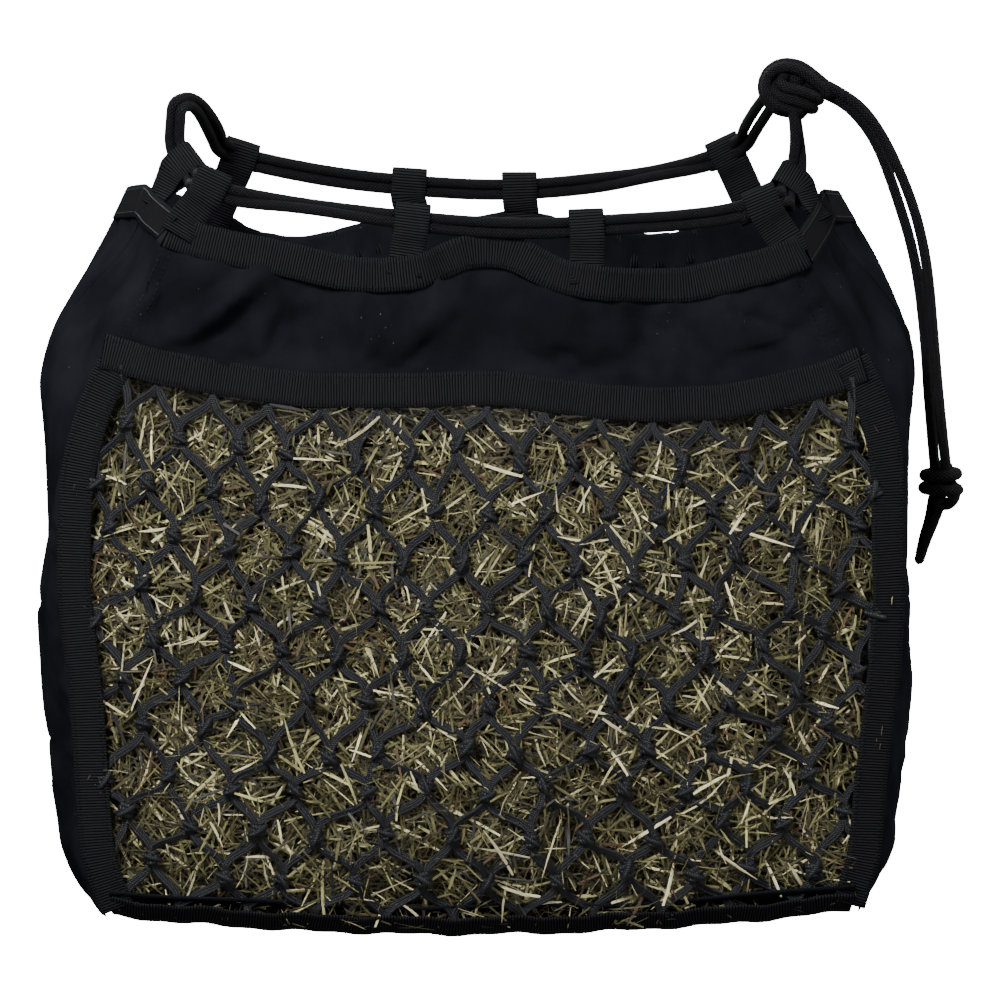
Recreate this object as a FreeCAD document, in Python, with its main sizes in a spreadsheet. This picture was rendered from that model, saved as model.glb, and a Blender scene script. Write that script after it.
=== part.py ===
"""Hay net: a fabric bag with a knotted net front, hung by a doubled draw rope.

X runs to the right, Y to the back, Z up, in millimetres. The origin is the underside of the left rope bight,
where the left hook carries the bag.
"""
import FreeCAD, Part
import math
import os
import Sketcher

Vector = FreeCAD.Vector
Rotation = FreeCAD.Rotation
Placement = FreeCAD.Placement

# ---------------------------------------------------------------- driving dimensions

DIMENSIONS = {
    # materials
    "fabric": 1.6,
    "tape_width": 25,
    "rope_diameter": 8,
    "rope_spacing": 8.3,
    "bend_share": 0.45,
    "twine_diameter": 4.2,
    "knot_diameter": 13,
    # bag
    "bag_x": 213,
    "half_depth": 90,
    "sag": 25,
    "fold_z": -180,
    "fold_gap": 1,
    "corner_gap": 9,
    "front_rim_z": -75,
    "side_rim_z": -67,
    "band_foot_half": 262,
    "net_tape_half": 268,
    "net_tape_z": -153,
    "net_side_tape_z": -184,
    "net_side_tape_half": 282,
    "bottom_sag": 18,
    "front_bulge": 47,
    "back_bulge": 28,
    "hay_clearance": 6,
    "hay_floor_z": -571,
    # webbing loops
    "loop_slot": 9,
    "loop_pinch": 3.2,
    "loop_straight": 9,
    "loop_taper": 16,
    "front_loop_leg": 46,
    "side_loop_leg_left": 56,
    "side_loop_leg_right": 36,
    # knots
    "top_knot_x": 445,
    "top_knot_z": 20,
    "top_knot_ring": 11.5,
    "top_knot_wrap": 8,
    "top_knot_half_width": 25,
    "top_knot_half_depth": 15.2,
    "top_knot_half_height": 14,
    "end_knot_x": 557,
    "end_knot_z": -278,
    "end_knot_ring": 9,
    "end_knot_wrap": 7.5,
    "end_knot_pitch": 12,
    "end_knot_half_height": 16,
    # net
    "net_columns": 14,
    "net_rows": 9,
    "net_clearance": 2.7,
    "net_edge": 6,
    "net_leg_start": 0.86,
}

# Levels of the bag from the top down: height, half width at the corners, how far the side panel stands out
# between its corners, and how full of hay the bag is there (0 to 1).
LEVELS = {
    "rim": (-92, 243, 30, 0),
    "shoulder": (-160, 271, 52, 0),
    "heap": (-200, 289, 35, 0.1),
    "chest": (-260, 308, 12, 0.62),
    "belly": (-340, 310, 10, 0.95),
    "low": (-470, 300, 13, 1),
    "foot": (-540, 291, 10, 0.72),
    "floor": (-574, 280, 6, 0.06),
}

# The levels between which the hay lies.
HAY_LEVELS = ["heap", "chest", "belly", "low", "foot", "floor"]

# Middle line between the two strands of the rope where it runs along the rims: (x, z).
FRONT_ROPE = [
    (0, -32), (24, -43.5), (38, -47.2), (80, -52.8), (134, -61), (188, -68), (226, -70.5),
    (264, -71), (316, -68), (356, -66), (403, -60.5), (437, -46.5),
]
BACK_ROPE = [
    (26, -36.5), (54, -45.5), (100, -55), (138, -60.5), (194, -65.5), (229, -67),
    (268, -66), (312, -61.5), (346, -56), (390, -47), (415, -34.5),
]
# The runs of those routes that a webbing loop holds, counted from the left.
FRONT_LOOP_RUNS = (0, 4, 7, 10)
BACK_LOOP_RUNS = (0, 3, 5, 9)

# Left bight and right risers, strand by strand: (x, y, z).
LEFT_LOWER = [
    (-13.6, -74, -40.5), (-13.6, -50, -34), (-13.6, -8, -33), (-12.5, -6.5, 13.2), (8, 14, 13.2), (25.5, 53, -16),
]
LEFT_UPPER = [
    (-8, -74, -33), (-8, -50, -27.5), (-8, -16, -26.7), (-5.5, -11.5, 4.2), (6, 9, 4.2), (18, 50, -20.5),
]
RIGHT_FRONT_LOWER = [
    (451.7, -72, -51), (451.7, -50, -48), (451.7, -12, -46.5), (454, -8, -24), (450, -4, -8), (448, -4, 5),
]
RIGHT_FRONT_UPPER = [
    (445.5, -74, -44), (445.5, -50, -42), (445.5, -20, -41.3), (448.5, -16.5, -24), (448, -13, -8), (445, -11, 10),
]
RIGHT_BACK_LOWER = [(421, 52, -20.5), (427, 30, -6), (435, 6, 10.5)]
RIGHT_BACK_UPPER = [(413, 54, -17), (418.5, 32, -2.5), (428.5, 8, 15.5)]

# The tail's two strands, from the top knot to the end knot, and the two short ends below it.
TAIL_OUTER = [
    (472, -3, 22.5), (487, -4, 14.5), (501, -5, 2.5), (513.5, -5.5, -16), (525, -5.5, -40), (535, -5, -65),
    (542, -5, -90), (547, -4.8, -118), (550.5, -5, -158), (554, -5, -200), (558, -5, -240), (561, -5, -266),
]
TAIL_INNER = [
    (472, 3, 14.5), (483, 4, 8.5), (495.5, 5, -4.5), (506, 5.5, -23), (515, 5.5, -44), (524, 5, -70),
    (532, 5, -96), (539, 4.8, -126), (544, 5, -155), (546.5, 5, -183), (548, 5, -212), (553, 5, -266),
]
TAIL_END_OUTER = [(556, -4.8, -292), (552, -5, -303), (545.5, -5, -318), (541, -5, -332)]
TAIL_END_INNER = [(551, 4.8, -292), (549, 5, -304), (545, 5, -317), (542.5, 5, -329)]

# Where the side loops hold the rope: middle between the strands, and how far the loop leans to the right.
SIDE_LOOPS = {
    "left": ((-10.8, -31, -30.3), 43),
    "right": ((448.6, -34, -44.5), -49),
}

doc = FreeCAD.newDocument("hay_net")
sheet = doc.addObject("Spreadsheet::Sheet", "Dims")
nodes = []


# ---------------------------------------------------------------- sheet and helpers

def fill_sheet():
    """Put each driving dimension in a cell of its own, with its name as the alias."""
    cells = dict(DIMENSIONS)
    for level, (z, half, side, full) in LEVELS.items():
        cells[level + "_z"] = z
        cells[level + "_half"] = half
        cells[level + "_side"] = side
        cells[level + "_full"] = full
    for row, (name, number) in enumerate(cells.items(), start=1):
        sheet.set(f"A{row}", name)
        sheet.set(f"B{row}", str(number))
        sheet.setAlias(f"B{row}", name)
    doc.recompute()


def size(name):
    """A driving dimension, read back from the sheet."""
    return float(sheet.get(name))


def keep(obj, node):
    """Name a finished sub-part after its node."""
    obj.Label = node
    nodes.append(obj)
    return obj


def outline(sketch, corners, arcs=None):
    """Draw a closed outline whose corners are pairs of expressions.

    arcs gives the rise of an edge, by the number of its first corner: how far its middle stands out to the
    right of the direction of travel. Such an edge's chord runs along one of the sketch's axes.
    """
    arcs = arcs or {}
    values = [[float(sketch.evalExpression(part)) for part in corner] for corner in corners]
    points = [Vector(x, y, 0) for x, y in values]
    starts, ends = [], []
    for i, here in enumerate(points):
        there = points[(i + 1) % len(points)]
        if i in arcs:
            rise = float(sketch.evalExpression(arcs[i]))
            chord = there - here
            outward = Vector(chord.y, -chord.x, 0).normalize()
            middle = (here + there) * 0.5 + outward * rise
            edge = sketch.addGeometry(Part.Arc(here, middle, there), False)
            forward = (sketch.getPoint(edge, 1) - here).Length < 1e-6
            starts.append((edge, 1 if forward else 2))
            ends.append((edge, 2 if forward else 1))
        else:
            edge = sketch.addGeometry(Part.LineSegment(here, there), False)
            starts.append((edge, 1))
            ends.append((edge, 2))
    for i, (x, y) in enumerate(corners):
        edge, end = starts[i]
        last_edge, last_end = ends[i - 1]
        sketch.addConstraint(Sketcher.Constraint("Coincident", last_edge, last_end, edge, end))
        bind(sketch, "DistanceX", edge, end, values[i][0], f"x{i}", x)
        bind(sketch, "DistanceY", edge, end, values[i][1], f"y{i}", y)
    for i, rise in arcs.items():
        bind_centre(sketch, starts[i][0], corners[i], corners[(i + 1) % len(corners)], rise)


def bind(sketch, kind, edge, end, value, name, expression):
    """Fix one coordinate of a point from the sketch's origin, by an expression."""
    index = sketch.addConstraint(Sketcher.Constraint(kind, -1, 1, edge, end, value))
    sketch.renameConstraint(index, name)
    sketch.setExpression(f"Constraints.{name}", expression)


def bind_centre(sketch, edge, here, there, rise):
    """Fix an arc's centre across its chord, which holds its rise."""
    run = [float(sketch.evalExpression(f"({b}) - ({a})")) for a, b in zip(here, there)]
    along = 0 if abs(run[0]) > abs(run[1]) else 1
    across = 1 - along
    chord = f"(({there[along]}) - ({here[along]}))"
    outward = math.copysign(1, run[along]) * (-1 if along == 0 else 1)
    shift = f"(({rise}) / 2 - {chord}^2 / (8 * ({rise})))"
    expression = f"({here[across]}) + {outward:g} * {shift}"
    kind = ("DistanceX", "DistanceY")[across]
    bind(sketch, kind, edge, 3, float(sketch.evalExpression(expression)), f"centre{edge}", expression)


def plate(node, plane, corners, arcs, offset, thickness, both_ways=False):
    """A body padded from one outline on an origin plane."""
    body = doc.addObject("PartDesign::Body", node + "_body")
    support = next(f for f in body.Origin.OriginFeatures if f.Role == plane)
    sketch = body.newObject("Sketcher::SketchObject", node + "_outline")
    sketch.AttachmentSupport = (support, "")
    sketch.MapMode = "FlatFace"
    sketch.setExpression("AttachmentOffset.Base.z", offset)
    outline(sketch, corners, arcs)
    pad = body.newObject("PartDesign::Pad", node + "_pad")
    pad.Profile = sketch
    pad.setExpression("Length", thickness)
    pad.Midplane = both_ways
    return keep(body, node)


def loft(node, sections):
    """A ruled solid through outlines at several heights: (height, corners, arcs) each."""
    sketches = []
    for i, (height, corners, arcs) in enumerate(sections):
        sketch = doc.addObject("Sketcher::SketchObject", f"{node}_level_{i}")
        sketch.setExpression("Placement.Base.z", height)
        outline(sketch, corners, arcs)
        sketches.append(sketch)
    solid = doc.addObject("Part::Loft", node + "_loft")
    solid.Sections = sketches
    solid.Solid = True
    solid.Ruled = True
    return keep(solid, node)


def corner_x(side, half, inset="0"):
    """The x of a corner of the bag: side is -1 at the left and 1 at the right."""
    return f"Dims.bag_x + {side} * (Dims.{half}_half - {inset})"


# ---------------------------------------------------------------- fabric and tapes

def rim_strip(top, sag_rise, half_top, half_foot, foot):
    """Corners and arcs of a strip with sagging top and bottom edges, seen from the front."""
    corners = [
        (f"Dims.bag_x - ({half_foot})", foot),
        (f"Dims.bag_x + ({half_foot})", foot),
        (f"Dims.bag_x + ({half_top})", top),
        (f"Dims.bag_x - ({half_top})", top),
    ]
    return corners, {0: sag_rise, 2: f"-({sag_rise})"}


def add_band(node, front):
    """The fabric between the rim tape and the fold: front band, or upper back panel."""
    half_top = "Dims.rim_half - Dims.corner_gap"
    foot = "Dims.net_tape_z + Dims.fold_gap" if front else "Dims.fold_z + Dims.fold_gap"
    corners, arcs = rim_strip("Dims.front_rim_z", "Dims.sag", half_top, "Dims.band_foot_half", foot)
    if not front:
        del arcs[0]
    inner = "Dims.half_depth - Dims.fabric" if front else "-Dims.half_depth"
    plate(node, "XZ_Plane", corners, arcs, inner, "Dims.fabric")


def add_rim_tape(node, front):
    """Ribbed tape on the outside of a band, along its top edge."""
    half = "Dims.rim_half - Dims.corner_gap"
    foot = "Dims.front_rim_z - Dims.tape_width"
    corners, arcs = rim_strip("Dims.front_rim_z", "Dims.sag", half, half, foot)
    inner = "Dims.half_depth" if front else "-Dims.half_depth - Dims.fabric"
    plate(node, "XZ_Plane", corners, arcs, inner, "Dims.fabric")


def add_net_tapes():
    """The four tapes that frame the net."""
    corners, arcs = rim_strip(
        "Dims.net_tape_z", "Dims.sag", "Dims.net_tape_half", "Dims.net_tape_half + Dims.net_edge",
        "Dims.net_tape_z - Dims.tape_width",
    )
    plate("net_tape_top", "XZ_Plane", corners, arcs, "Dims.half_depth", "Dims.fabric")
    levels = ["chest", "belly", "low", "foot"]
    for side, name in ((-1, "left"), (1, "right")):
        outer = [(corner_x(side, "net_side_tape"), "Dims.net_side_tape_z")]
        outer += [(corner_x(side, level), f"Dims.{level}_z") for level in levels]
        outer += [(corner_x(side, "floor"), "Dims.floor_z + Dims.tape_width")]
        inner = [(f"{x} - {side} * Dims.tape_width", z) for x, z in reversed(outer)]
        plate("net_tape_" + name, "XZ_Plane", outer + inner, {}, "Dims.half_depth", "Dims.fabric")
    half, top = "Dims.floor_half", "Dims.floor_z - Dims.fabric"
    corners, arcs = rim_strip(top, "Dims.bottom_sag", half, half, f"{top} - Dims.fabric")
    plate("net_tape_bottom", "XZ_Plane", corners, arcs, "Dims.half_depth - Dims.tape_width", "Dims.tape_width")


def add_bottom():
    """The sagging bottom panel."""
    half = "Dims.floor_half"
    corners, arcs = rim_strip("Dims.floor_z", "Dims.bottom_sag", half, half, "Dims.floor_z - Dims.fabric")
    plate("bottom_panel", "XZ_Plane", corners, arcs, "-Dims.half_depth", "2 * Dims.half_depth")


def add_side(side, name):
    """A side panel that bulges outwards, and the rim tape along its top."""
    sections = []
    for level in LEVELS:
        outer_x = corner_x(side, level)
        inner_x = corner_x(side, level, "Dims.fabric")
        sections.append((f"Dims.{level}_z", *side_strip(side, outer_x, inner_x, f"Dims.{level}_side")))
    loft(f"{name}_side_panel", sections)
    corners, arcs = side_strip(side, corner_x(side, "rim"), corner_x(side, "rim", "Dims.fabric"), "Dims.rim_side")
    plate(f"rim_tape_{name}", "XY_Plane", corners, arcs, "Dims.rim_z", "Dims.side_rim_z - Dims.rim_z")


def side_strip(side, outer_x, inner_x, rise):
    """Corners and arcs of a thin strip across one side of the bag, seen from above."""
    corners = [
        (outer_x, f"{-side} * Dims.half_depth"),
        (outer_x, f"{side} * Dims.half_depth"),
        (inner_x, f"{side} * Dims.half_depth"),
        (inner_x, f"{-side} * Dims.half_depth"),
    ]
    return corners, {0: rise, 2: f"-({rise})"}


def add_back_panel():
    """The lower back panel, pushed out by the hay."""
    sections = []
    for level in HAY_LEVELS:
        height = "Dims.fold_z - Dims.fold_gap" if level == "heap" else f"Dims.{level}_z"
        rise = f"Dims.back_bulge * Dims.{level}_full"
        corners = [
            (corner_x(1, level), "Dims.half_depth + Dims.fabric"),
            (corner_x(-1, level), "Dims.half_depth + Dims.fabric"),
            (corner_x(-1, level), "Dims.half_depth"),
            (corner_x(1, level), "Dims.half_depth"),
        ]
        sections.append((height, corners, {0: rise, 2: f"-({rise})"}))
    loft("back_panel_lower", sections)


def add_hay():
    """The hay as one closed solid that fills the bag below its mouth."""
    sections = []
    for level in HAY_LEVELS:
        height = "Dims.hay_floor_z" if level == "floor" else f"Dims.{level}_z"
        left = corner_x(-1, level, "Dims.hay_clearance")
        right = corner_x(1, level, "Dims.hay_clearance")
        depth = "(Dims.half_depth - Dims.hay_clearance)"
        corners = [(left, "-" + depth), (right, "-" + depth), (right, depth), (left, depth)]
        arcs = {
            0: f"Dims.front_bulge * Dims.{level}_full",
            1: f"Dims.{level}_side",
            2: f"Dims.back_bulge * Dims.{level}_full",
            3: f"Dims.{level}_side",
        }
        sections.append((height, corners, arcs))
    loft("hay_fill", sections)


# ---------------------------------------------------------------- knotted net

def between_levels(kind, z, levels):
    """A measure of the bag at a height, between the levels above and below it."""
    for upper, lower in zip(levels, levels[1:]):
        top, foot = size(upper + "_z"), size(lower + "_z")
        if z >= foot or lower == levels[-1]:
            share = min(max((top - z) / (top - foot), 0), 1)
            return size(f"{upper}_{kind}") * (1 - share) + size(f"{lower}_{kind}") * share


def hay_front(x, z):
    """The y of the hay's front surface at a place."""
    half = between_levels("half", z, HAY_LEVELS) - size("hay_clearance")
    rise = size("front_bulge") * between_levels("full", z, HAY_LEVELS)
    radius = (half ** 2 + rise ** 2) / (2 * rise)
    offset = min(abs(x - size("bag_x")), half)
    out = rise - radius + math.sqrt(radius ** 2 - offset ** 2)
    return -(size("half_depth") - size("hay_clearance")) - out


def net_half_width(z):
    """Half the width of the net at a height."""
    return between_levels("half", z, list(LEVELS)) - size("tape_width") + size("net_edge")


def net_point(row, place):
    """A knot of the net: row 0 is under the top tape, and place runs from -1 at the left to 1 at the right."""
    rows = int(size("net_rows"))
    sag = size("sag") * (1 - place ** 2)
    top = size("net_tape_z") - size("tape_width") + size("net_edge") - sag
    foot = size("floor_z") + size("net_edge") - size("bottom_sag") * (1 - place ** 2)
    z = top + (foot - top) * row / rows
    x = size("bag_x") + place * net_half_width(z)
    y = hay_front(x, z) - size("net_clearance")
    return Vector(x, y, z)


def add_net():
    """Twine legs between knots, in rows of diamonds, as one solid."""
    columns, rows = int(size("net_columns")), int(size("net_rows"))
    knot_radius = size("knot_diameter") / 2
    twine_radius = size("twine_diameter") / 2
    leg_start = size("net_leg_start")
    knots = {}
    for row in range(rows + 1):
        count = columns + 1 if row % 2 == 0 else columns + 2
        for i in range(count):
            place = 2 * i / columns - 1 if row % 2 == 0 else 2 * (i - 0.5) / columns - 1
            place = min(max(place, -1), 1)
            knots[row, i] = net_point(row, place)
    solids = [knot_ball(point, knot_radius) for point in knots.values()]
    for (row, i), upper in knots.items():
        steps = (0, 1) if row % 2 == 0 else (-1, 0)
        for step in steps:
            lower = knots.get((row + 1, i + step))
            if lower is None:
                continue
            solids.append(twine_leg(upper, lower, knot_radius * leg_start, twine_radius))
    net = doc.addObject("Part::Feature", "net_mesh_solid")
    net.Shape = solids[0].multiFuse(solids[1:])
    keep(net, "net_mesh")


def knot_ball(point, radius):
    """A knot, its seam turned to the side, away from the legs."""
    ball = Part.makeSphere(radius)
    ball.Placement = Placement(point, Rotation(Vector(1, 0, 0), 90))
    return ball


def twine_leg(upper, lower, trim, radius):
    """One straight leg of the net, trimmed inside the knots at its ends."""
    direction = (lower - upper).normalize()
    start = upper + direction * trim
    length = (lower - upper).Length - 2 * trim
    return Part.makeCylinder(radius, length, start, direction)


# ---------------------------------------------------------------- webbing loops

def loop_outline(leg):
    """A hairpin of webbing, seen along the rope that it holds: the rope's two strands are in its head."""
    slot, thick = "Dims.loop_slot / 2", "Dims.fabric"
    pinch, head = "Dims.loop_pinch / 2", "Dims.rope_spacing / 2"
    heights = [f"-{leg}", "-Dims.loop_taper", "-Dims.loop_straight", head]
    widths = [pinch, pinch, slot, slot]
    right_outer = [(f"{w} + {thick}", z) for w, z in zip(widths, heights)]
    left_outer = [(f"-({w} + {thick})", z) for w, z in zip(reversed(widths), reversed(heights))]
    left_inner = [(f"-({w})", z) for w, z in zip(widths, heights)]
    right_inner = [(w, z) for w, z in zip(reversed(widths), reversed(heights))]
    corners = right_outer + left_outer + left_inner + right_inner
    return corners, {3: f"{slot} + {thick}", 11: f"-({slot})"}


def add_loop(node, leg, place, rotation):
    """A webbing loop round the rope at a place, turned so that its slot lines up with the rope."""
    corners, arcs = loop_outline(leg)
    body = plate(node, "YZ_Plane", corners, arcs, "0", "Dims.tape_width", both_ways=True)
    body.Placement = Placement(place, rotation)


def add_rim_loops(name, route, runs, y):
    """The loops of one rim, each at the middle of a run of the rope and tilted with it."""
    for number, run in enumerate(runs, start=1):
        (x0, z0), (x1, z1) = route[run], route[run + 1]
        tilt = -math.degrees(math.atan2(z1 - z0, x1 - x0))
        place = Vector((x0 + x1) / 2, y, (z0 + z1) / 2)
        add_loop(f"loop_{name}_{number}", "Dims.front_loop_leg", place, Rotation(Vector(0, 1, 0), tilt))


# ---------------------------------------------------------------- rope

def rounded_path(points):
    """Straight runs joined by tangent arcs, each arc as large as its two runs allow."""
    edges = []
    start = points[0]
    for before, corner, after in zip(points, points[1:], points[2:]):
        back, onward = before - corner, after - corner
        turn = math.pi - back.getAngle(onward)
        reach = size("bend_share") * min(back.Length, onward.Length)
        radius = reach / math.tan(turn / 2)
        if radius <= size("rope_diameter") / 2:
            raise ValueError(f"bend of {radius:.1f} mm at {corner} is too tight for the rope")
        enter = corner + back.normalize() * reach
        leave = corner + onward.normalize() * reach
        bisector = (back + onward).normalize()
        middle = corner + bisector * (math.hypot(reach, radius) - radius)
        edges.append(Part.LineSegment(start, enter).toShape())
        edges.append(Part.Arc(enter, middle, leave).toShape())
        start = leave
    edges.append(Part.LineSegment(start, points[-1]).toShape())
    return Part.Wire(edges)


def add_rope(node, route):
    """One strand of the rope along a route, swept from a circle."""
    points = [Vector(*point) for point in route]
    path = doc.addObject("Part::Feature", node + "_path")
    path.Shape = rounded_path(points)
    section = doc.addObject("Part::Circle", node + "_section")
    section.setExpression("Radius", "Dims.rope_diameter / 2")
    along = Rotation(Vector(0, 0, 1), points[1] - points[0])
    section.Placement = Placement(points[0], along)
    sweep = doc.addObject("Part::Sweep", node + "_sweep")
    sweep.Sections = [section]
    sweep.Spine = (path, [f"Edge{i + 1}" for i in range(len(path.Shape.Edges))])
    sweep.Solid = True
    sweep.Frenet = False
    keep(sweep, node)


def beside(route, gap):
    """A copy of a rim's route that keeps a gap above it, or below it where the gap is negative."""
    moved = []
    for i, (x, z) in enumerate(route):
        slopes = []
        for (x0, z0), (x1, z1) in zip(route[max(i - 1, 0):i + 1], route[max(i, 1):i + 2]):
            slopes.append(math.atan2(z1 - z0, x1 - x0))
        turn = slopes[-1] - slopes[0]
        slope = slopes[0] + turn / 2
        reach = gap / math.cos(turn / 2)
        moved.append((x - reach * math.sin(slope), z + reach * math.cos(slope)))
    return moved


def add_rim_rope(name, route, y):
    """The two strands that run through one rim's loops, one above the other."""
    half_spacing = size("rope_spacing") / 2
    for strand, gap in (("lower", -half_spacing), ("upper", half_spacing)):
        add_rope(f"rope_{name}_{strand}", [(x, y, z) for x, z in beside(route, gap)])


def add_top_knot():
    """Overhand knot of the doubled rope: a ring wrapped round a thick core."""
    core = doc.addObject("Part::Ellipsoid", "top_knot_core")
    core.setExpression("Radius1", "Dims.top_knot_half_height")
    core.setExpression("Radius2", "Dims.top_knot_half_width")
    core.setExpression("Radius3", "Dims.top_knot_half_depth")
    ring = doc.addObject("Part::Torus", "top_knot_ring_wrap")
    ring.setExpression("Radius1", "Dims.top_knot_ring")
    ring.setExpression("Radius2", "Dims.top_knot_wrap")
    ring.Placement.Rotation = Rotation(Vector(1, 0, 0), 90)
    for piece in (core, ring):
        piece.setExpression("Placement.Base.x", "Dims.top_knot_x")
        piece.setExpression("Placement.Base.z", "Dims.top_knot_z")
    fused = doc.addObject("Part::MultiFuse", "top_knot_fused")
    fused.Shapes = [core, ring]
    keep(fused, "top_knot")


def add_end_knot():
    """Two stacked wraps and a bulge under them."""
    wraps = []
    for number, share in enumerate((0.5, -0.5)):
        ring = doc.addObject("Part::Torus", f"end_knot_wrap_{number}")
        ring.setExpression("Radius1", "Dims.end_knot_ring")
        ring.setExpression("Radius2", "Dims.end_knot_wrap")
        ring.setExpression("Placement.Base.z", f"Dims.end_knot_z + {share} * Dims.end_knot_pitch")
        wraps.append(ring)
    core = doc.addObject("Part::Ellipsoid", "end_knot_core")
    core.setExpression("Radius1", "Dims.end_knot_half_height")
    core.setExpression("Radius2", "Dims.end_knot_ring")
    core.setExpression("Radius3", "Dims.end_knot_ring")
    core.setExpression("Placement.Base.z", "Dims.end_knot_z")
    for piece in wraps + [core]:
        piece.setExpression("Placement.Base.x", "Dims.end_knot_x")
    fused = doc.addObject("Part::MultiFuse", "end_knot_fused")
    fused.Shapes = wraps + [core]
    keep(fused, "end_knot")


# ---------------------------------------------------------------- whole object

def build():
    """Every sub-part, in the order of the real bag's making: fabric, net, loops, rope, hay."""
    front_y, back_y = -size("half_depth"), size("half_depth")
    add_band("front_band", front=True)
    add_band("back_panel_upper", front=False)
    add_rim_tape("rim_tape_front", front=True)
    add_rim_tape("rim_tape_back", front=False)
    add_net_tapes()
    add_bottom()
    add_side(-1, "left")
    add_side(1, "right")
    add_back_panel()
    add_net()
    add_rim_loops("front", FRONT_ROPE, FRONT_LOOP_RUNS, front_y)
    add_rim_loops("back", BACK_ROPE, BACK_LOOP_RUNS, back_y)
    for side, (place, lean) in SIDE_LOOPS.items():
        turn = Rotation(Vector(0, 0, 1), 90).multiply(Rotation(Vector(1, 0, 0), lean))
        add_loop(f"loop_side_{side}", f"Dims.side_loop_leg_{side}", Vector(*place), turn)
    add_rim_rope("front", FRONT_ROPE, front_y)
    add_rim_rope("back", BACK_ROPE, back_y)
    add_rope("rope_left_lower", LEFT_LOWER)
    add_rope("rope_left_upper", LEFT_UPPER)
    add_rope("rope_right_front_lower", RIGHT_FRONT_LOWER)
    add_rope("rope_right_front_upper", RIGHT_FRONT_UPPER)
    add_rope("rope_right_back_lower", RIGHT_BACK_LOWER)
    add_rope("rope_right_back_upper", RIGHT_BACK_UPPER)
    add_top_knot()
    add_rope("tail_strand_outer", TAIL_OUTER)
    add_rope("tail_strand_inner", TAIL_INNER)
    add_end_knot()
    add_rope("tail_end_outer", TAIL_END_OUTER)
    add_rope("tail_end_inner", TAIL_END_INNER)
    add_hay()


def write():
    """Check every object, then write one STEP file a node."""
    doc.recompute()
    failed = [obj.Name for obj in doc.Objects if {"Invalid", "Error"} & set(obj.State)]
    bad = [obj.Label for obj in nodes if obj.Shape.isNull() or not obj.Shape.isValid()]
    if failed or bad:
        raise RuntimeError(f"failed: {failed}, bad shapes: {bad}")
    os.makedirs("parts", exist_ok=True)
    for obj in nodes:
        obj.Shape.exportStep(f"parts/{obj.Label}.step")
        print(obj.Label, len(obj.Shape.Solids), "solids", round(obj.Shape.Volume / 1000, 1), "cm3")


fill_sheet()
build()
write()
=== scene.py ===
"""Visual model of the hay net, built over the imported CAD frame.

X runs to the right, Y to the back, Z up, in metres. The origin is the underside of the left rope bight.
"""

import math

import bmesh
import bpy
import numpy as np
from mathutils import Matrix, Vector
from mathutils.kdtree import KDTree


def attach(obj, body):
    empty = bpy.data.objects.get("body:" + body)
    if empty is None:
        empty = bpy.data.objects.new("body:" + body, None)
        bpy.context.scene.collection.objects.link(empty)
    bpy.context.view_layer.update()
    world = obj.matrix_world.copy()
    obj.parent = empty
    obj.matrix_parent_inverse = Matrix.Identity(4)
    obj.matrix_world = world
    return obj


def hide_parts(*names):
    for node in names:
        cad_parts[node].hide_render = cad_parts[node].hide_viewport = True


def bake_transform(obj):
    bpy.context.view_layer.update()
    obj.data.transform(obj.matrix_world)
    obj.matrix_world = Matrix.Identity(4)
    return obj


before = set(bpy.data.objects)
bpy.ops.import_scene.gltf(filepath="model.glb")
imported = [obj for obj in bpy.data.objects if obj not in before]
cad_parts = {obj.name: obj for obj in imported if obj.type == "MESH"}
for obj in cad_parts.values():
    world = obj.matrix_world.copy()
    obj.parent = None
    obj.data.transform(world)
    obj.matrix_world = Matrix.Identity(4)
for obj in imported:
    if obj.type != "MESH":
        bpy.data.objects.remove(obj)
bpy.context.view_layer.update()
random = np.random.default_rng(7)

# ---------------------------------------------------------------- measures

BAG_X = 0.213  # middle of the bag
HALF_DEPTH = 0.090
BOTTOM_HALF_WIDTH = 0.274
BOTTOM_SAG = 0.0145  # of the bottom and the net's foot, in the middle
FRONT_SWELL = 0.047  # how far the hay pushes out the net, where it is fullest
BACK_SWELL = 0.028
HAY_INSET = 0.006  # from the fabric to the hay
TAPE = 0.025
TAPE_THICKNESS = 0.0017
STITCH_OFFSET = 0.0098  # from the middle of a net tape to its rows of stitches
FOLD_Z = -0.180  # hinge line of the mouth
SEAM_PEAK_Z = -0.050
RIGHT_LEAN = 0.16  # share by which the right end of the mouth stands out further than the left one
ROPE_RADIUS = 0.004
STRAND_LIFT = 0.0039  # from the middle of the doubled rope to each strand
KNOT = Vector((0.445, 0.0, 0.020))
END_KNOT = Vector((0.557, 0.0, -0.2755))

# Levels of the bag: height, half width at the corners, stand-out of the side between them, fullness (0 to 1).
LEVELS = [
    (-0.040, 0.220, 0.036, 0.0), (-0.062, 0.226, 0.036, 0.0), (-0.092, 0.238, 0.040, 0.0),
    (-0.130, 0.260, 0.050, 0.0), (-0.160, 0.277, 0.049, 0.0), (-0.200, 0.297, 0.030, 0.10),
    (-0.228, 0.306, 0.018, 0.35), (-0.260, 0.311, 0.011, 0.62), (-0.340, 0.311, 0.009, 0.95),
    (-0.470, 0.300, 0.013, 1.0), (-0.540, 0.293, 0.010, 0.72), (-0.574, 0.281, 0.006, 0.30),
    (-0.600, 0.272, 0.004, 0.10),
]
# Outline of the mouth's ends near the rim: from the front corner (-1) to the back one (1), 1 furthest out.
MOUTH_END = [
    (-1.0, 0.0), (-0.55, 0.36), (-0.04, 0.76), (0.06, 0.78),
    (0.35, 0.98), (0.6, 1.0), (0.85, 0.68), (1.0, 0.0),
]

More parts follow.
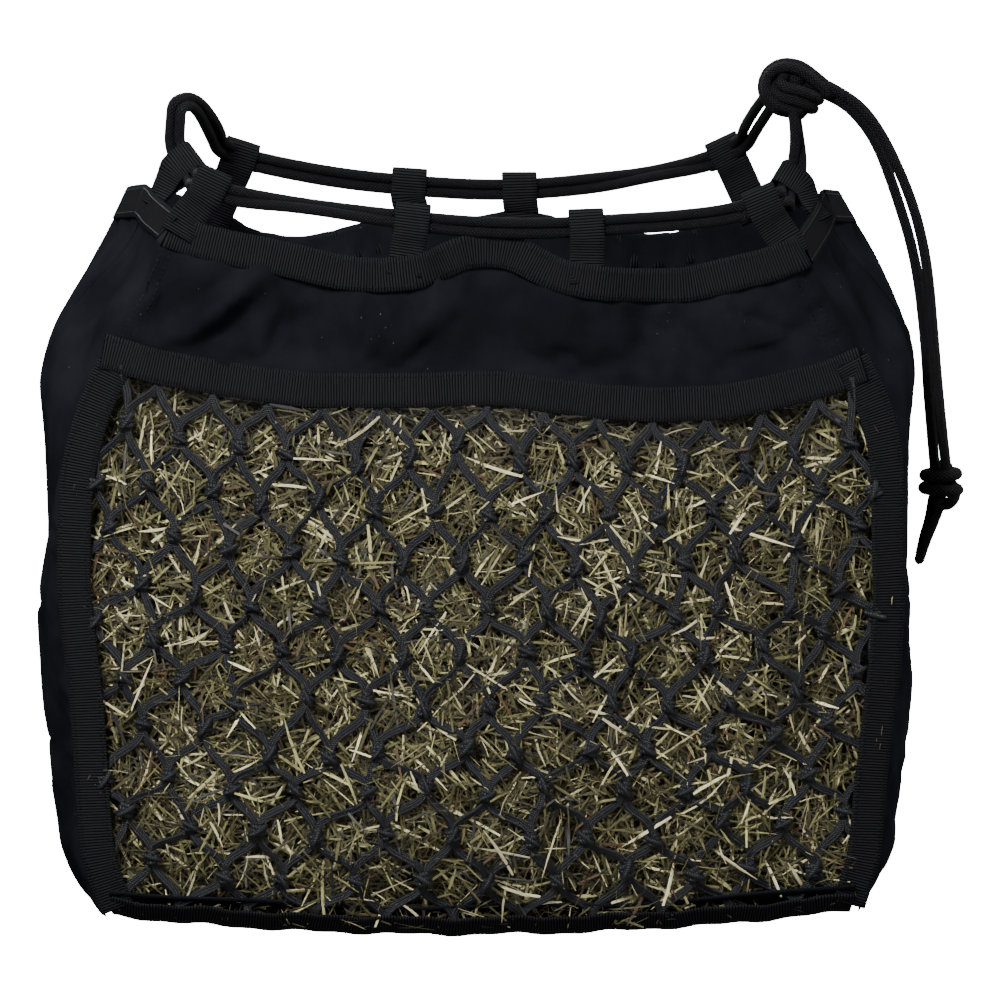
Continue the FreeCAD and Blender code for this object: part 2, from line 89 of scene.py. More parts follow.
# Middle line between the two strands of the rope along the rims: (x, z).
FRONT_ROPE = [
    (0.011, -0.0375), (0.024, -0.0435), (0.038, -0.0472), (0.080, -0.0528), (0.134, -0.061), (0.188, -0.068),
    (0.226, -0.0705), (0.264, -0.071), (0.316, -0.068), (0.356, -0.066), (0.403, -0.0605), (0.424, -0.0519),
]
BACK_ROPE = [
    (0.039, -0.0407), (0.054, -0.0455), (0.100, -0.055), (0.138, -0.0605), (0.194, -0.0655), (0.229, -0.067),
    (0.268, -0.066), (0.312, -0.0615), (0.346, -0.056), (0.390, -0.047), (0.404, -0.040),
]
# The last runs of those lines, through the corner loops, from the rim outwards.
FRONT_LEFT_RUN = [(0.024, -0.0435), (0.002, -0.0327)]
FRONT_RIGHT_RUN = [(0.403, -0.0605), (0.434, -0.0477)]
BACK_LEFT_RUN = [(0.054, -0.0455), (0.026, -0.0365)]
BACK_RIGHT_RUN = [(0.390, -0.047), (0.415, -0.0345)]
# Where the pair of strands rolls over, so that one lies before the other: (x, half length, angle).
FRONT_ROLL = (0.095, 0.052, 1.25)
BACK_ROLL = (0.345, 0.030, 1.20)
# Where the rope bends between the rims and the strands at the ends of the mouth: lower strand, upper strand.
LEFT_FRONT_BEND = [(-0.0015, -0.066, -0.0390), (0.0050, -0.066, -0.0315)]
LEFT_BACK_BEND = [(0.018, 0.050, -0.0205), (0.0255, 0.053, -0.016)]
RIGHT_FRONT_BEND = [(0.4405, -0.066, -0.0560), (0.4350, -0.066, -0.0490)]
RIGHT_BACK_BEND = [(0.421, 0.052, -0.0205), (0.413, 0.054, -0.017)]

# Left bight and right risers, strand by strand.
LEFT_LOWER = [
    (-0.0010, -0.044, -0.0425), (-0.0020, -0.032, -0.0405), (-0.0085, -0.019, -0.0305),
    (-0.0150, -0.0085, -0.0205), (-0.0138, -0.0075, 0.0000), (-0.0120, -0.0055, 0.0152),
    (-0.0028, 0.0035, 0.0152),
]
LEFT_UPPER = [
    (0.0050, -0.044, -0.0370), (0.0035, -0.032, -0.0350), (-0.0025, -0.020, -0.0255),
    (-0.0078, -0.0130, -0.0160), (-0.0070, -0.0125, -0.0025), (-0.0064, -0.0105, 0.0098),
    (-0.0010, -0.0015, 0.0095),
]
RIGHT_FRONT_LOWER = [
    (0.4420, -0.046, -0.0590), (0.4425, -0.034, -0.0560), (0.4475, -0.022, -0.0485),
    (0.4540, -0.0105, -0.0380), (0.4500, -0.004, -0.008), (0.448, -0.004, 0.005),
]
RIGHT_FRONT_UPPER = [
    (0.4355, -0.046, -0.0545), (0.4360, -0.034, -0.0515), (0.4408, -0.022, -0.0443),
    (0.4465, -0.0125, -0.0350), (0.4485, -0.013, -0.008), (0.445, -0.011, 0.010),
]
RIGHT_BACK_LOWER = [(0.431, 0.018, 0.0022), (0.433, 0.012, 0.0063), (0.435, 0.006, 0.0104)]
RIGHT_BACK_UPPER = [(0.4235, 0.020, 0.0065), (0.426, 0.014, 0.011), (0.4285, 0.008, 0.0155)]

# The tail's two strands, from the top knot to the end knot, and the two short ends below it.
TAIL_OUTER = [
    (0.472, -0.003, 0.0225), (0.487, -0.004, 0.0145), (0.501, -0.005, 0.0025), (0.5135, -0.0055, -0.016),
    (0.525, -0.0055, -0.040), (0.535, -0.005, -0.065), (0.542, -0.005, -0.090), (0.547, -0.0048, -0.118),
    (0.5505, -0.005, -0.158), (0.554, -0.005, -0.200), (0.558, -0.005, -0.240), (0.561, -0.005, -0.266),
]
TAIL_INNER = [
    (0.472, 0.003, 0.0145), (0.4835, 0.004, 0.0092), (0.4965, 0.005, -0.0030), (0.5085, 0.0055, -0.0205),
    (0.5175, 0.0055, -0.0425), (0.5262, 0.005, -0.0685), (0.5345, 0.005, -0.0950), (0.5405, 0.0048, -0.125),
    (0.544, 0.005, -0.155), (0.5465, 0.005, -0.183), (0.548, 0.005, -0.212), (0.553, 0.005, -0.266),
]
TAIL_END_OUTER = [
    (0.556, -0.0048, -0.292), (0.552, -0.005, -0.303), (0.5455, -0.005, -0.318), (0.541, -0.005, -0.332),
]
TAIL_END_INNER = [
    (0.551, 0.0048, -0.292), (0.549, 0.005, -0.304), (0.545, 0.005, -0.317), (0.5425, 0.005, -0.329),
]

# Top edge of the fabric along the front and back rims: (x, z).
FRONT_RIM = [
    (-0.019, -0.057), (0.006, -0.066), (0.055, -0.077), (0.099, -0.088), (0.120, -0.092), (0.147, -0.092),
    (0.171, -0.089), (0.196, -0.076), (0.217, -0.0735), (0.237, -0.077), (0.265, -0.093), (0.301, -0.0995),
    (0.360, -0.1025), (0.419, -0.0875), (0.451, -0.0745),
]
BACK_RIM = [
    (-0.017, -0.066), (0.020, -0.078), (0.060, -0.098), (0.095, -0.103), (0.130, -0.093), (0.166, -0.082),
    (0.205, -0.090), (0.248, -0.082), (0.290, -0.093), (0.330, -0.102), (0.365, -0.100), (0.405, -0.079),
    (0.451, -0.073),
]
# Middle line of the tape along the top of the net: (x, z).
NET_TAPE = [
    (-0.067, -0.159), (-0.028, -0.171), (0.030, -0.182), (0.091, -0.190), (0.160, -0.190), (0.226, -0.1885),
    (0.297, -0.1995), (0.345, -0.202), (0.392, -0.2005), (0.440, -0.190), (0.475, -0.181), (0.494, -0.171),
]

# ---------------------------------------------------------------- camera, light, floor

CAMERA_AZIMUTH = math.radians(-2.5)
CAMERA_ELEVATION = math.radians(8.5)
CAMERA_DISTANCE = 20.0
CAMERA_LENS = 972
CAMERA_TARGET = Vector((0.230, 0.0, -0.286))
LIGHT_TARGET = Vector((BAG_X, 0, -0.3))
WORLD_STRENGTH = 0.45
FLOOR_Z = -0.75
FLOOR_REACH = 40
FLOOR_GLOW = 18.0


def add_camera():
    """A very long lens, a little to the left of the front and above it."""
    level_part = math.cos(CAMERA_ELEVATION)
    x = math.sin(CAMERA_AZIMUTH) * level_part
    y = -math.cos(CAMERA_AZIMUTH) * level_part
    away = Vector((x, y, math.sin(CAMERA_ELEVATION)))
    data = bpy.data.cameras.new("camera")
    data.lens = CAMERA_LENS
    data.sensor_width = 36
    data.clip_end = 3 * CAMERA_DISTANCE
    camera = bpy.data.objects.new("camera", data)
    bpy.context.scene.collection.objects.link(camera)
    camera.location = CAMERA_TARGET + away * CAMERA_DISTANCE
    camera.rotation_euler = (-away).to_track_quat("-Z", "Y").to_euler()
    bpy.context.scene.camera = camera


def add_light(name, place, size, power):
    """A round soft light that faces the bag."""
    data = bpy.data.lights.new(name, "AREA")
    data.shape = "DISK"
    data.size = size
    data.energy = power
    light = bpy.data.objects.new(name, data)
    bpy.context.scene.collection.objects.link(light)
    light.location = place
    light.rotation_euler = (LIGHT_TARGET - Vector(place)).to_track_quat("-Z", "Y").to_euler()


def add_studio():
    """Soft lights all round, and a white floor with walls that shows no horizon and doesn't light the bag."""
    world = bpy.data.worlds.new("studio")
    world.use_nodes = True
    background = world.node_tree.nodes["Background"]
    background.inputs["Color"].default_value = (1, 1, 1, 1)
    background.inputs["Strength"].default_value = WORLD_STRENGTH
    bpy.context.scene.world = world
    for name, place_at, size, power in (
        ("key", (-0.9, -2.2, 1.5), 0.8, 185),
        ("fill", (1.9, -2.0, 0.5), 1.4, 28),
        ("top", (0.3, 0.5, 2.2), 1.2, 45),
        ("back", (-1.2, 2.2, 1.3), 1.0, 110),
        ("side", (2.6, 0.7, 0.9), 1.0, 60),
    ):
        add_light(name, place_at, size, power)
    mesh = bpy.data.meshes.new("floor")
    reach = FLOOR_REACH
    square = [(-reach, -reach), (reach, -reach), (reach, reach), (-reach, reach)]
    points = [(x, y, z) for z in (0, reach) for x, y in square]
    walls = [(i, (i + 1) % 4, (i + 1) % 4 + 4, i + 4) for i in range(4)]
    mesh.from_pydata(points, [], [(0, 1, 2, 3)] + walls)
    floor = bpy.data.objects.new("floor", mesh)
    bpy.context.scene.collection.objects.link(floor)
    floor.location.z = FLOOR_Z
    material, shader = surface("floor", (0.93, 0.93, 0.93), 0.9)
    shader.inputs["Emission Color"].default_value = (1, 1, 1, 1)
    shader.inputs["Emission Strength"].default_value = FLOOR_GLOW
    mesh.materials.append(material)
    floor.visible_diffuse = False
    floor.visible_glossy = False


# ---------------------------------------------------------------- materials

def surface(name, colour, roughness, sheen=0.0, specular=0.5):
    """A new principled material and its shader node."""
    material = bpy.data.materials.new(name)
    material.use_nodes = True
    shader = material.node_tree.nodes["Principled BSDF"]
    shader.inputs["Base Color"].default_value = (*colour, 1)
    shader.inputs["Roughness"].default_value = roughness
    shader.inputs["Specular IOR Level"].default_value = specular
    shader.inputs["Sheen Weight"].default_value = sheen
    shader.inputs["Sheen Roughness"].default_value = 0.45
    return material, shader


def put(material, kind, inputs, output=0, **settings):
    """Add a node, set or link its inputs, and return one of its outputs."""
    tree = material.node_tree
    made = tree.nodes.new(kind)
    for key, value in settings.items():
        setattr(made, key, value)
    for key, value in inputs.items():
        if isinstance(value, bpy.types.NodeSocket):
            tree.links.new(value, made.inputs[key])
        else:
            made.inputs[key].default_value = value
    return made.outputs[output]


def calc(material, operation, *values):
    """A maths node on values or sockets."""
    return put(material, "ShaderNodeMath", dict(enumerate(values)), operation=operation)


def metres(material):
    """The piece's own flat coordinates, in metres: across and along."""
    flat = put(material, "ShaderNodeUVMap", {}, uv_map="metres")
    across = put(material, "ShaderNodeSeparateXYZ", {"Vector": flat}, output=0)
    along = put(material, "ShaderNodeSeparateXYZ", {"Vector": flat}, output=1)
    return across, along


def place(material):
    """Coordinates in the object's own space."""
    return put(material, "ShaderNodeTexCoord", {}, output=3)


def cloud(material, scale, detail=3.0, roughness=0.55):
    """Noise in the object's own space."""
    inputs = {"Vector": place(material), "Scale": scale, "Detail": detail, "Roughness": roughness}
    return put(material, "ShaderNodeTexNoise", inputs)


def blend_colours(material, factor, low, high):
    """A colour ramp between two colours."""
    ramp = material.node_tree.nodes.new("ShaderNodeValToRGB")
    ramp.color_ramp.elements[0].color = (*low, 1)
    ramp.color_ramp.elements[1].color = (*high, 1)
    ramp.color_ramp.elements[0].position = 0.35
    ramp.color_ramp.elements[1].position = 0.65
    material.node_tree.links.new(factor, ramp.inputs["Fac"])
    return ramp.outputs["Color"]


def wave(material, coordinate, pitch):
    """Rounded ridges, 0 to 1, at a pitch in metres."""
    angle = calc(material, "MULTIPLY", coordinate, math.pi / pitch)
    return calc(material, "ABSOLUTE", calc(material, "SINE", angle))


def finish_surface(material, shader, height, depth, colour, roughness, normal=None):
    """Link the bump, colour and roughness of a material."""
    links = material.node_tree.links
    inputs = {"Height": height, "Distance": depth, "Strength": 1.0}
    if normal is not None:
        inputs["Normal"] = normal
    bump = put(material, "ShaderNodeBump", inputs)
    links.new(bump, shader.inputs["Normal"])
    links.new(colour, shader.inputs["Base Color"])
    links.new(roughness, shader.inputs["Roughness"])


def spread(material, factor, low, high):
    """Map 0 to 1 onto another range."""
    inputs = {"Value": factor, "To Min": low, "To Max": high}
    return put(material, "ShaderNodeMapRange", inputs)


def fabric_material():
    """Black oxford nylon: fine weave, soft crinkles, a few specks of dust."""
    material, shader = surface("oxford_nylon", (0.004, 0.004, 0.006), 0.6, specular=0.0)
    across, along = metres(material)
    weave = calc(material, "MULTIPLY", wave(material, across, 0.0009), wave(material, along, 0.0009))
    crinkle = put(material, "ShaderNodeBump", {
        "Height": cloud(material, 42.0, 5.0, 0.62), "Distance": 0.0022, "Strength": 0.55,
    })
    tone = blend_colours(material, cloud(material, 18.0), (0.0046, 0.0048, 0.0062), (0.0078, 0.0082, 0.0108))
    specks = put(material, "ShaderNodeTexVoronoi", {"Vector": place(material), "Scale": 210.0})
    rare = put(material, "ShaderNodeTexNoise", {"Vector": place(material), "Scale": 70.0, "Detail": 0.0})
    small = calc(material, "LESS_THAN", specks, 0.080)
    dust = calc(material, "MULTIPLY", small, calc(material, "GREATER_THAN", rare, 0.72))
    colours = {"Factor": dust, 6: tone, 7: (0.09, 0.09, 0.085, 1)}
    mixed = put(material, "ShaderNodeMix", colours, output=2, data_type="RGBA")
    rough = spread(material, cloud(material, 30.0), 0.50, 0.72)
    finish_surface(material, shader, weave, 0.00012, mixed, rough, crinkle)
    return material


def webbing_material():
    """Black ribbed tape: ribs across its length, each made of small crossing threads."""
    material, shader = surface("webbing", (0.004, 0.004, 0.005), 0.55, specular=0.0)
    across, along = metres(material)
    ribs = wave(material, along, 0.0021)
    threads = wave(material, calc(material, "ADD", across, calc(material, "MULTIPLY", along, 0.35)), 0.0011)
    height = calc(material, "ADD", ribs, calc(material, "MULTIPLY", threads, 0.3))
    # Painted shade and highlight: the colour is darker in the grooves between the ribs and lighter on their
    # crests.
    tone = blend_colours(material, ribs, (0.0012, 0.0012, 0.0014), (0.0120, 0.0121, 0.0138))
    rough = spread(material, cloud(material, 90.0), 0.45, 0.68)
    finish_surface(material, shader, height, 0.00050, tone, rough)
    return material


def braid_material():
    """Black braided rope: two sets of strands that cross over and under."""
    material, shader = surface("braided_rope", (0.004, 0.004, 0.005), 0.6, specular=0.03)
    around, along = metres(material)
    cells, length = 10, 0.027  # cells round the rope, and the length in which they go once round it
    turns = calc(material, "MULTIPLY", around, cells / (2 * math.pi * ROPE_RADIUS))
    steps = calc(material, "MULTIPLY", along, cells / length)
    first = calc(material, "ADD", turns, steps)
    second = calc(material, "SUBTRACT", turns, steps)
    cell = calc(material, "ADD", calc(material, "FLOOR", first), calc(material, "FLOOR", second))
    over = calc(material, "ABSOLUTE", calc(material, "MODULO", cell, 2.0))
    ridge_a = calc(material, "ABSOLUTE", calc(material, "SINE", calc(material, "MULTIPLY", first, math.pi)))
    ridge_b = calc(material, "ABSOLUTE", calc(material, "SINE", calc(material, "MULTIPLY", second, math.pi)))
    soft_a = calc(material, "MULTIPLY", ridge_a, calc(material, "POWER", ridge_b, 0.3))
    soft_b = calc(material, "MULTIPLY", ridge_b, calc(material, "POWER", ridge_a, 0.3))
    braid = put(material, "ShaderNodeMix", {"Factor": over, 2: soft_a, 3: soft_b}, data_type="FLOAT")
    # Painted shade and highlight: the colour follows the braid, dark where the strands dip under and light
    # where they rise.
    tone = blend_colours(material, braid, (0.0010, 0.0010, 0.0011), (0.0110, 0.0110, 0.0122))
    rough = spread(material, cloud(material, 160.0), 0.5, 0.75)
    finish_surface(material, shader, braid, 0.0009, tone, rough)
    return material


def twine_material():
    """Black net twine with a slight gloss and a fine twist."""
    material, shader = surface("net_twine", (0.004, 0.004, 0.005), 0.5, specular=0.22)
    around, along = metres(material)
    twist = wave(material, calc(material, "ADD", along, calc(material, "MULTIPLY", around, 0.6)), 0.0016)
    # Painted shade and highlight: the colour is dark in the grooves of the twist and light on its ridges.
    tone = blend_colours(material, twist, (0.0012, 0.0013, 0.0016), (0.0110, 0.0115, 0.0145))
    rough = spread(material, cloud(material, 200.0), 0.38, 0.62)
    finish_surface(material, shader, twist, 0.00035, tone, rough)
    return material


def thread_material():
    """Black thread of the stitches."""
    material, shader = surface("sewing_thread", (0.003, 0.003, 0.004), 0.6, specular=0.06)
    twist = cloud(material, 900.0, 1.0)
    tone = blend_colours(material, twist, (0.0015, 0.0015, 0.002), (0.0050, 0.0050, 0.006))
    finish_surface(material, shader, twist, 0.0002, tone, spread(material, twist, 0.4, 0.6))
    return material


def hay_material():
    """Dry grass: each piece has its own tint, with veins along it."""
    material, shader = surface("hay", (0.30, 0.27, 0.12), 0.62, sheen=0.05, specular=0.35)
    across = metres(material)[0]
    tint = put(material, "ShaderNodeAttribute", {}, attribute_name="tint")
    veins = wave(material, across, 0.00055)
    patches = cloud(material, 240.0, 2.0)
    vein_shade = spread(material, veins, 0.82, 1.08)
    shade = calc(material, "MULTIPLY", vein_shade, spread(material, patches, 0.62, 1.30))
    toned = put(material, "ShaderNodeVectorMath", {0: tint, 3: shade}, operation="SCALE")
    finish_surface(material, shader, veins, 0.00012, toned, spread(material, patches, 0.5, 0.75))
    return material


def hay_core_material():
    """The deep hay between the outer pieces: its near-black colour is painted shade, mottled with red-brown
    hay.
    """
    material, shader = surface("hay_core", (0.02, 0.015, 0.008), 0.9, specular=0.2)
    fibres = cloud(material, 330.0, 6.0, 0.75)
    tone = blend_colours(material, fibres, (0.0030, 0.0014, 0.0006), (0.040, 0.022, 0.008))
    finish_surface(material, shader, fibres, 0.004, tone, spread(material, fibres, 0.8, 0.95))
    return material


# ---------------------------------------------------------------- mesh helpers

def new_piece(name, points, faces, flat, materials, face_materials=None, smooth=True):
    """A mesh object from arrays: points, faces, and flat coordinates in metres for each point."""
    mesh = bpy.data.meshes.new(name)
    mesh.from_pydata(np.asarray(points, float).tolist(), [], np.asarray(faces, int).tolist())
    corners = np.empty(len(mesh.loops), np.int32)
    mesh.loops.foreach_get("vertex_index", corners)
    layer = mesh.uv_layers.new(name="metres")
    layer.data.foreach_set("uv", np.asarray(flat, np.float32)[corners].ravel())
    for material in materials:
        mesh.materials.append(material)
    if face_materials is not None:
        mesh.polygons.foreach_set("material_index", np.asarray(face_materials, np.int32))
    if smooth:
        mesh.polygons.foreach_set("use_smooth", np.ones(len(mesh.polygons), bool))
    mesh.update()
    piece = bpy.data.objects.new(name, mesh)
    bpy.context.scene.collection.objects.link(piece)
    return piece


def grid_faces(rows, columns):
    """Quads of a grid of points, row by row."""
    first = (np.arange(rows - 1)[:, None] * columns + np.arange(columns - 1)).ravel()
    return np.stack([first, first + 1, first + columns + 1, first + columns], axis=1)


class Parts:
    """Collects grids of points into one mesh."""

    def __init__(self):
        self.points = []
        self.faces = []
        self.flat = []
        self.slots = []
        self.count = 0

    def add(self, points, faces, flat, slot=0):
        self.points.append(np.asarray(points, float).reshape(-1, 3))
        self.faces.append(np.asarray(faces) + self.count)
        self.flat.append(np.asarray(flat, float).reshape(-1, 2))
        self.slots.append(np.full(len(faces), slot))
        self.count += len(self.points[-1])

    def build(self, name, materials):
        arrays = [np.concatenate(rows) for rows in (self.points, self.faces, self.flat)]
        return new_piece(name, *arrays, materials, np.concatenate(self.slots))


def unit(vectors):
    """The same directions, one long."""
    return vectors / np.maximum(np.linalg.norm(vectors, axis=-1, keepdims=True), 1e-12)


def lengths(points):
    """Running length along a line of points."""
    return np.concatenate([[0], np.cumsum(np.linalg.norm(np.diff(points, axis=0), axis=1))])


def spline(points, steps=12):
    """Points of a smooth NURBS line with the given control points."""
    curve = bpy.data.curves.new("guide", "CURVE")
    curve.dimensions = "3D"
    line = curve.splines.new("NURBS")
    line.points.add(len(points) - 1)
    for target, point in zip(line.points, points):
        target.co = (*point, 1)
    line.order_u = 3
    line.use_endpoint_u = True
    line.resolution_u = steps
    guide = bpy.data.objects.new("guide", curve)
    bpy.context.scene.collection.objects.link(guide)
    mesh = bpy.data.meshes.new_from_object(guide)
    found = np.array([vertex.co for vertex in mesh.vertices])
    bpy.data.objects.remove(guide)
    bpy.data.curves.remove(curve)
    bpy.data.meshes.remove(mesh)
    return found


def frames(points, up=(0.0, 0.0, 1.0)):
    """Direction, side and up vectors that turn with a line without twisting."""
    points = np.asarray(points, float)
    along = unit(np.gradient(points, axis=0))
    side = unit(np.cross(along[0], up))
    sides = []
    for direction in along:
        side = unit(side - direction * side.dot(direction))
        sides.append(side)
    sides = np.array(sides)
    return along, sides, np.cross(sides, along)


def tube_grid(points, radius, around=14, up=(0.0, 0.0, 1.0)):
    """Points, faces and flat coordinates of a tube with rounded ends."""
    along, side, over = frames(points, up)
    radii = np.full(len(points), 1.0) * radius
    turn = np.linspace(0, 2 * math.pi, around + 1)
    ring = side[:, None] * np.cos(turn)[None, :, None] + over[:, None] * np.sin(turn)[None, :, None]
    body = np.asarray(points)[:, None] + ring * radii[:, None, None]
    run = lengths(np.asarray(points))
    grid = [body]
    runs = [run]
    for end, sign in ((0, -1), (-1, 1)):
        caps, cap_runs = [], []
        for share in (0.75, 0.25, 0.02):
            shift = math.sqrt(1 - share ** 2) * radii[end]
            caps.append(points[end] + sign * along[end] * shift + ring[end] * radii[end] * share)
            cap_runs.append(run[end] + sign * shift)
        if sign < 0:
            grid.insert(0, np.array(caps[::-1]))
            runs.insert(0, np.array(cap_runs[::-1]))
        else:
            grid.append(np.array(caps))
            runs.append(np.array(cap_runs))
    body = np.concatenate(grid)
    run = np.concatenate(runs)
    flat = np.stack(np.broadcast_arrays(turn[None, :] * np.mean(radii), run[:, None]), axis=-1)
    return body, grid_faces(len(body), around + 1), flat


def tube(name, points, radius, material, around=18):
    """A piece made of one tube."""
    parts = Parts()
    parts.add(*tube_grid(points, radius, around))
    return parts.build(name, [material])


def ribbon_grid(points, widths, half_width, thickness):
    """A flat tape along a line. widths gives the direction across the tape at each point."""
    points = np.asarray(points, float)
    along = unit(np.gradient(points, axis=0))
    across = np.asarray(widths, float)
    across = unit(across - along * np.sum(across * along, axis=1, keepdims=True))
    out = np.cross(along, across)
    stations = (-1, -0.6, 0, 0.6, 1)
    profile = [(w, -1) for w in stations] + [(1.03, 0)]
    profile += [(w, 1) for w in stations[::-1]] + [(-1.03, 0), (-1, -1)]
    ring = np.array([[w * half_width, t * thickness / 2] for w, t in profile])
    grid = points[:, None] + across[:, None] * ring[None, :, :1] + out[:, None] * ring[None, :, 1:]
    run = lengths(points)
    flat = np.stack(np.broadcast_arrays(ring[None, :, 0], run[:, None]), axis=-1)
    columns = len(profile)
    faces = [grid_faces(len(points), columns)]
    pairs = np.array([(i, i + 1, columns - 3 - i, columns - 2 - i) for i in range(5)])
    faces.append(pairs[:, ::-1])
    faces.append(pairs + (len(points) - 1) * columns)
    return grid, np.concatenate(faces), flat


def at_run(values, run, distance):
    """Rows of a table read at a running length."""
    return np.array([np.interp(distance, run, values[:, k]) for k in range(3)])


def stitch_row(parts, points, normals, slot, pitch=0.0042, length=0.0030, thick=0.0005):
    """A row of stitches that lies on a surface, each a small arched pad."""
    points = np.asarray(points, float)
    normals = np.asarray(normals, float)
    run = lengths(points)
    stations = np.array([-0.5, -0.3, 0.3, 0.5])
    rise = np.array([0.0, 0.9, 0.9, 0.0])
    for middle in np.arange(pitch / 2, run[-1] - length, pitch):
        here = at_run(points, run, middle)
        along = unit(at_run(points, run, middle + 0.0005) - here)
        normal = unit(at_run(normals, run, middle))
        side = np.cross(normal, along)
        lengthways = along * stations[:, None] * length
        sideways = side * np.array([-1, 0, 1])[:, None] * thick
        body = here + lengthways[:, None] + sideways[None]
        body[:, 1] += normal * (rise * thick * 1.6)[:, None]
        flat = np.zeros((4, 3, 2))
        parts.add(body, grid_faces(4, 3)[:, ::-1], flat, slot)


# ---------------------------------------------------------------- shape of the bag

LEVEL_TABLE = np.array(LEVELS)


def soft_interp(at, places, values, reach):
    """Linear interpolation, averaged over a short reach either way."""
    shifts = np.linspace(-reach, reach, 5)
    return np.mean([np.interp(np.asarray(at) + shift, places, values) for shift in shifts], axis=0)


def level(z, column):
    """A value of the level table at a height, with soft turns between the levels."""
    heights = LEVEL_TABLE[::-1, 0]
    values = LEVEL_TABLE[::-1, column]
    return soft_interp(z, heights, values, 0.012)


def along_line(points, x):
    """Height of a line of (x, z) points at x, with soft turns."""
    table = np.array(points)
    return soft_interp(x, table[:, 0], table[:, 1], 0.010)


def hay_front(x, z):
    """The y of the hay's front surface."""
    half = level(z, 1) - HAY_INSET
    rise = FRONT_SWELL * level(z, 3) + 1e-5
    radius = (half ** 2 + rise ** 2) / (2 * rise)
    offset = np.minimum(np.abs(np.asarray(x) - BAG_X), half)
    return -(HALF_DEPTH - HAY_INSET) - (rise - radius + np.sqrt(radius ** 2 - offset ** 2))


def lumps(x, z, scale=1.0):
    """Small heaps on the hay, out of a few fixed waves."""
    x, z = np.asarray(x), np.asarray(z)
    wavy = np.sin(41 * x + 17 * z + 0.7) * np.sin(37 * z - 11 * x + 1.9)
    fine = np.sin(103 * x + 61 * z + 2.3) * np.sin(97 * z - 53 * x + 0.4)
    return scale * (0.0045 * wavy + 0.0020 * fine)


def side_point(side, share, z):
    """A point of a side panel: share runs from -1 at the front corner to 1 at the back one."""
    table = np.array(MOUTH_END)
    pulled = np.interp(share, table[:, 0], table[:, 1])
    pillow = 1 - np.abs(share) ** 2
    mix = np.interp(z, [-0.19, -0.10], [0, 1])
    lean = 1 + side * RIGHT_LEAN * mix
    out = level(z, 1) + level(z, 2) * lean * (pillow * (1 - mix) + pulled * mix)
    return np.stack(np.broadcast_arrays(BAG_X + side * out, share * HALF_DEPTH, z), axis=-1)


# ---------------------------------------------------------------- fabric shell

FRONT_COLUMNS = 72
HALF_SIDE = 10
BAND_ROWS = 13
LOWER_ROWS = 44
MOUTH_Z = -0.075
BAND_FOOT_Z = -0.165
BAG_FOOT_Z = -0.582
FABRIC = 0.0011
SETTLE_LIMIT = 0.005
SETTLE_FRAMES = 22
# Heights of the shell's top at its corners, by (end, front or back), and at its creases, by end.
CORNER_TOPS = {(-1, -1): -0.0575, (1, -1): -0.0765, (-1, 1): -0.066, (1, 1): -0.073}
CREASE_TOPS = {-1: -0.0490, 1: -0.0560}

# Folds modelled in the front band before the cloth settles: start and end (x, z), half width, depth.
BAND_FOLDS = [
    ((0.049, -0.103), (-0.021, -0.159), 0.0090, 0.0150),
    ((0.064, -0.110), (-0.002, -0.166), 0.0075, -0.0050),
    ((-0.010, -0.100), (-0.045, -0.150), 0.0060, -0.0030),
    ((0.402, -0.136), (0.442, -0.150), 0.0060, -0.0080),
    ((0.404, -0.158), (0.446, -0.142), 0.0060, 0.0075),
    ((0.060, -0.112), (0.046, -0.150), 0.0090, 0.0040),
    ((0.196, -0.112), (0.150, -0.160), 0.0110, 0.0070),
    ((0.225, -0.112), (0.275, -0.170), 0.0120, 0.0070),
    ((0.098, -0.118), (0.110, -0.172), 0.0130, -0.0065),
    ((0.335, -0.125), (0.330, -0.185), 0.0140, -0.0070),
    ((0.360, -0.120), (0.400, -0.175), 0.0100, 0.0035),
]

# The valley down each side panel, beside its crease: (share, height) at its start and end, half width, depth.
SIDE_VALLEY = ((-0.10, -0.085), (-0.78, -0.200), 0.16, 0.0085)


def rim_top(side, share):
    """Height of the top edge of a side panel."""
    corner = np.where(np.asarray(share) < 0, CORNER_TOPS[side, -1], CORNER_TOPS[side, 1])
    return corner + (CREASE_TOPS[side] - corner) * (1 - np.abs(share))


def ridge(x, z, start, end, half_width, depth):
    """A soft fold along a line."""
    line = np.array(end) - np.array(start)
    share = ((x - start[0]) * line[0] + (z - start[1]) * line[1]) / line.dot(line)
    share = np.clip(share, 0, 1)
    away = np.hypot(x - start[0] - share * line[0], z - start[1] - share * line[1])
    return depth * np.exp(-(away / half_width) ** 2) * np.sin(math.pi * np.clip(share, 0.08, 0.92)) ** 0.5


def front_column(place_x):
    """The front band, from the rim down to the tape over the net, at one place from -1 to 1."""
    share = np.linspace(0, 1, BAND_ROWS + 1)
    top_x = BAG_X + place_x * level(MOUTH_Z, 1)
    foot_x = BAG_X + place_x * level(BAND_FOOT_Z, 1)
    x = top_x + (foot_x - top_x) * share
    z = along_line(FRONT_RIM, top_x) * (1 - share) + along_line(NET_TAPE, foot_x) * share
    edge = 1 - abs(place_x) ** 6
    sway = 0.0045 * np.sin(2 * math.pi * (top_x + 0.02) / 0.145) * (1 - share) ** 1.2
    y = -HALF_DEPTH - edge * (0.0025 * share + sway)
    loose = np.clip((1 - share) / 0.35, 0, 1)
    for fold in BAND_FOLDS:
        y = y - edge * loose * ridge(x, z, *fold)
    return np.stack([x, y, z], axis=1)


def column_heights(top):
    """Heights of a full column of the shell, from its rim to the bottom of the bag."""
    upper = np.linspace(top, BAND_FOOT_Z, BAND_ROWS + 1)
    return np.concatenate([upper, np.linspace(BAND_FOOT_Z, BAG_FOOT_Z, LOWER_ROWS + 1)[1:]])


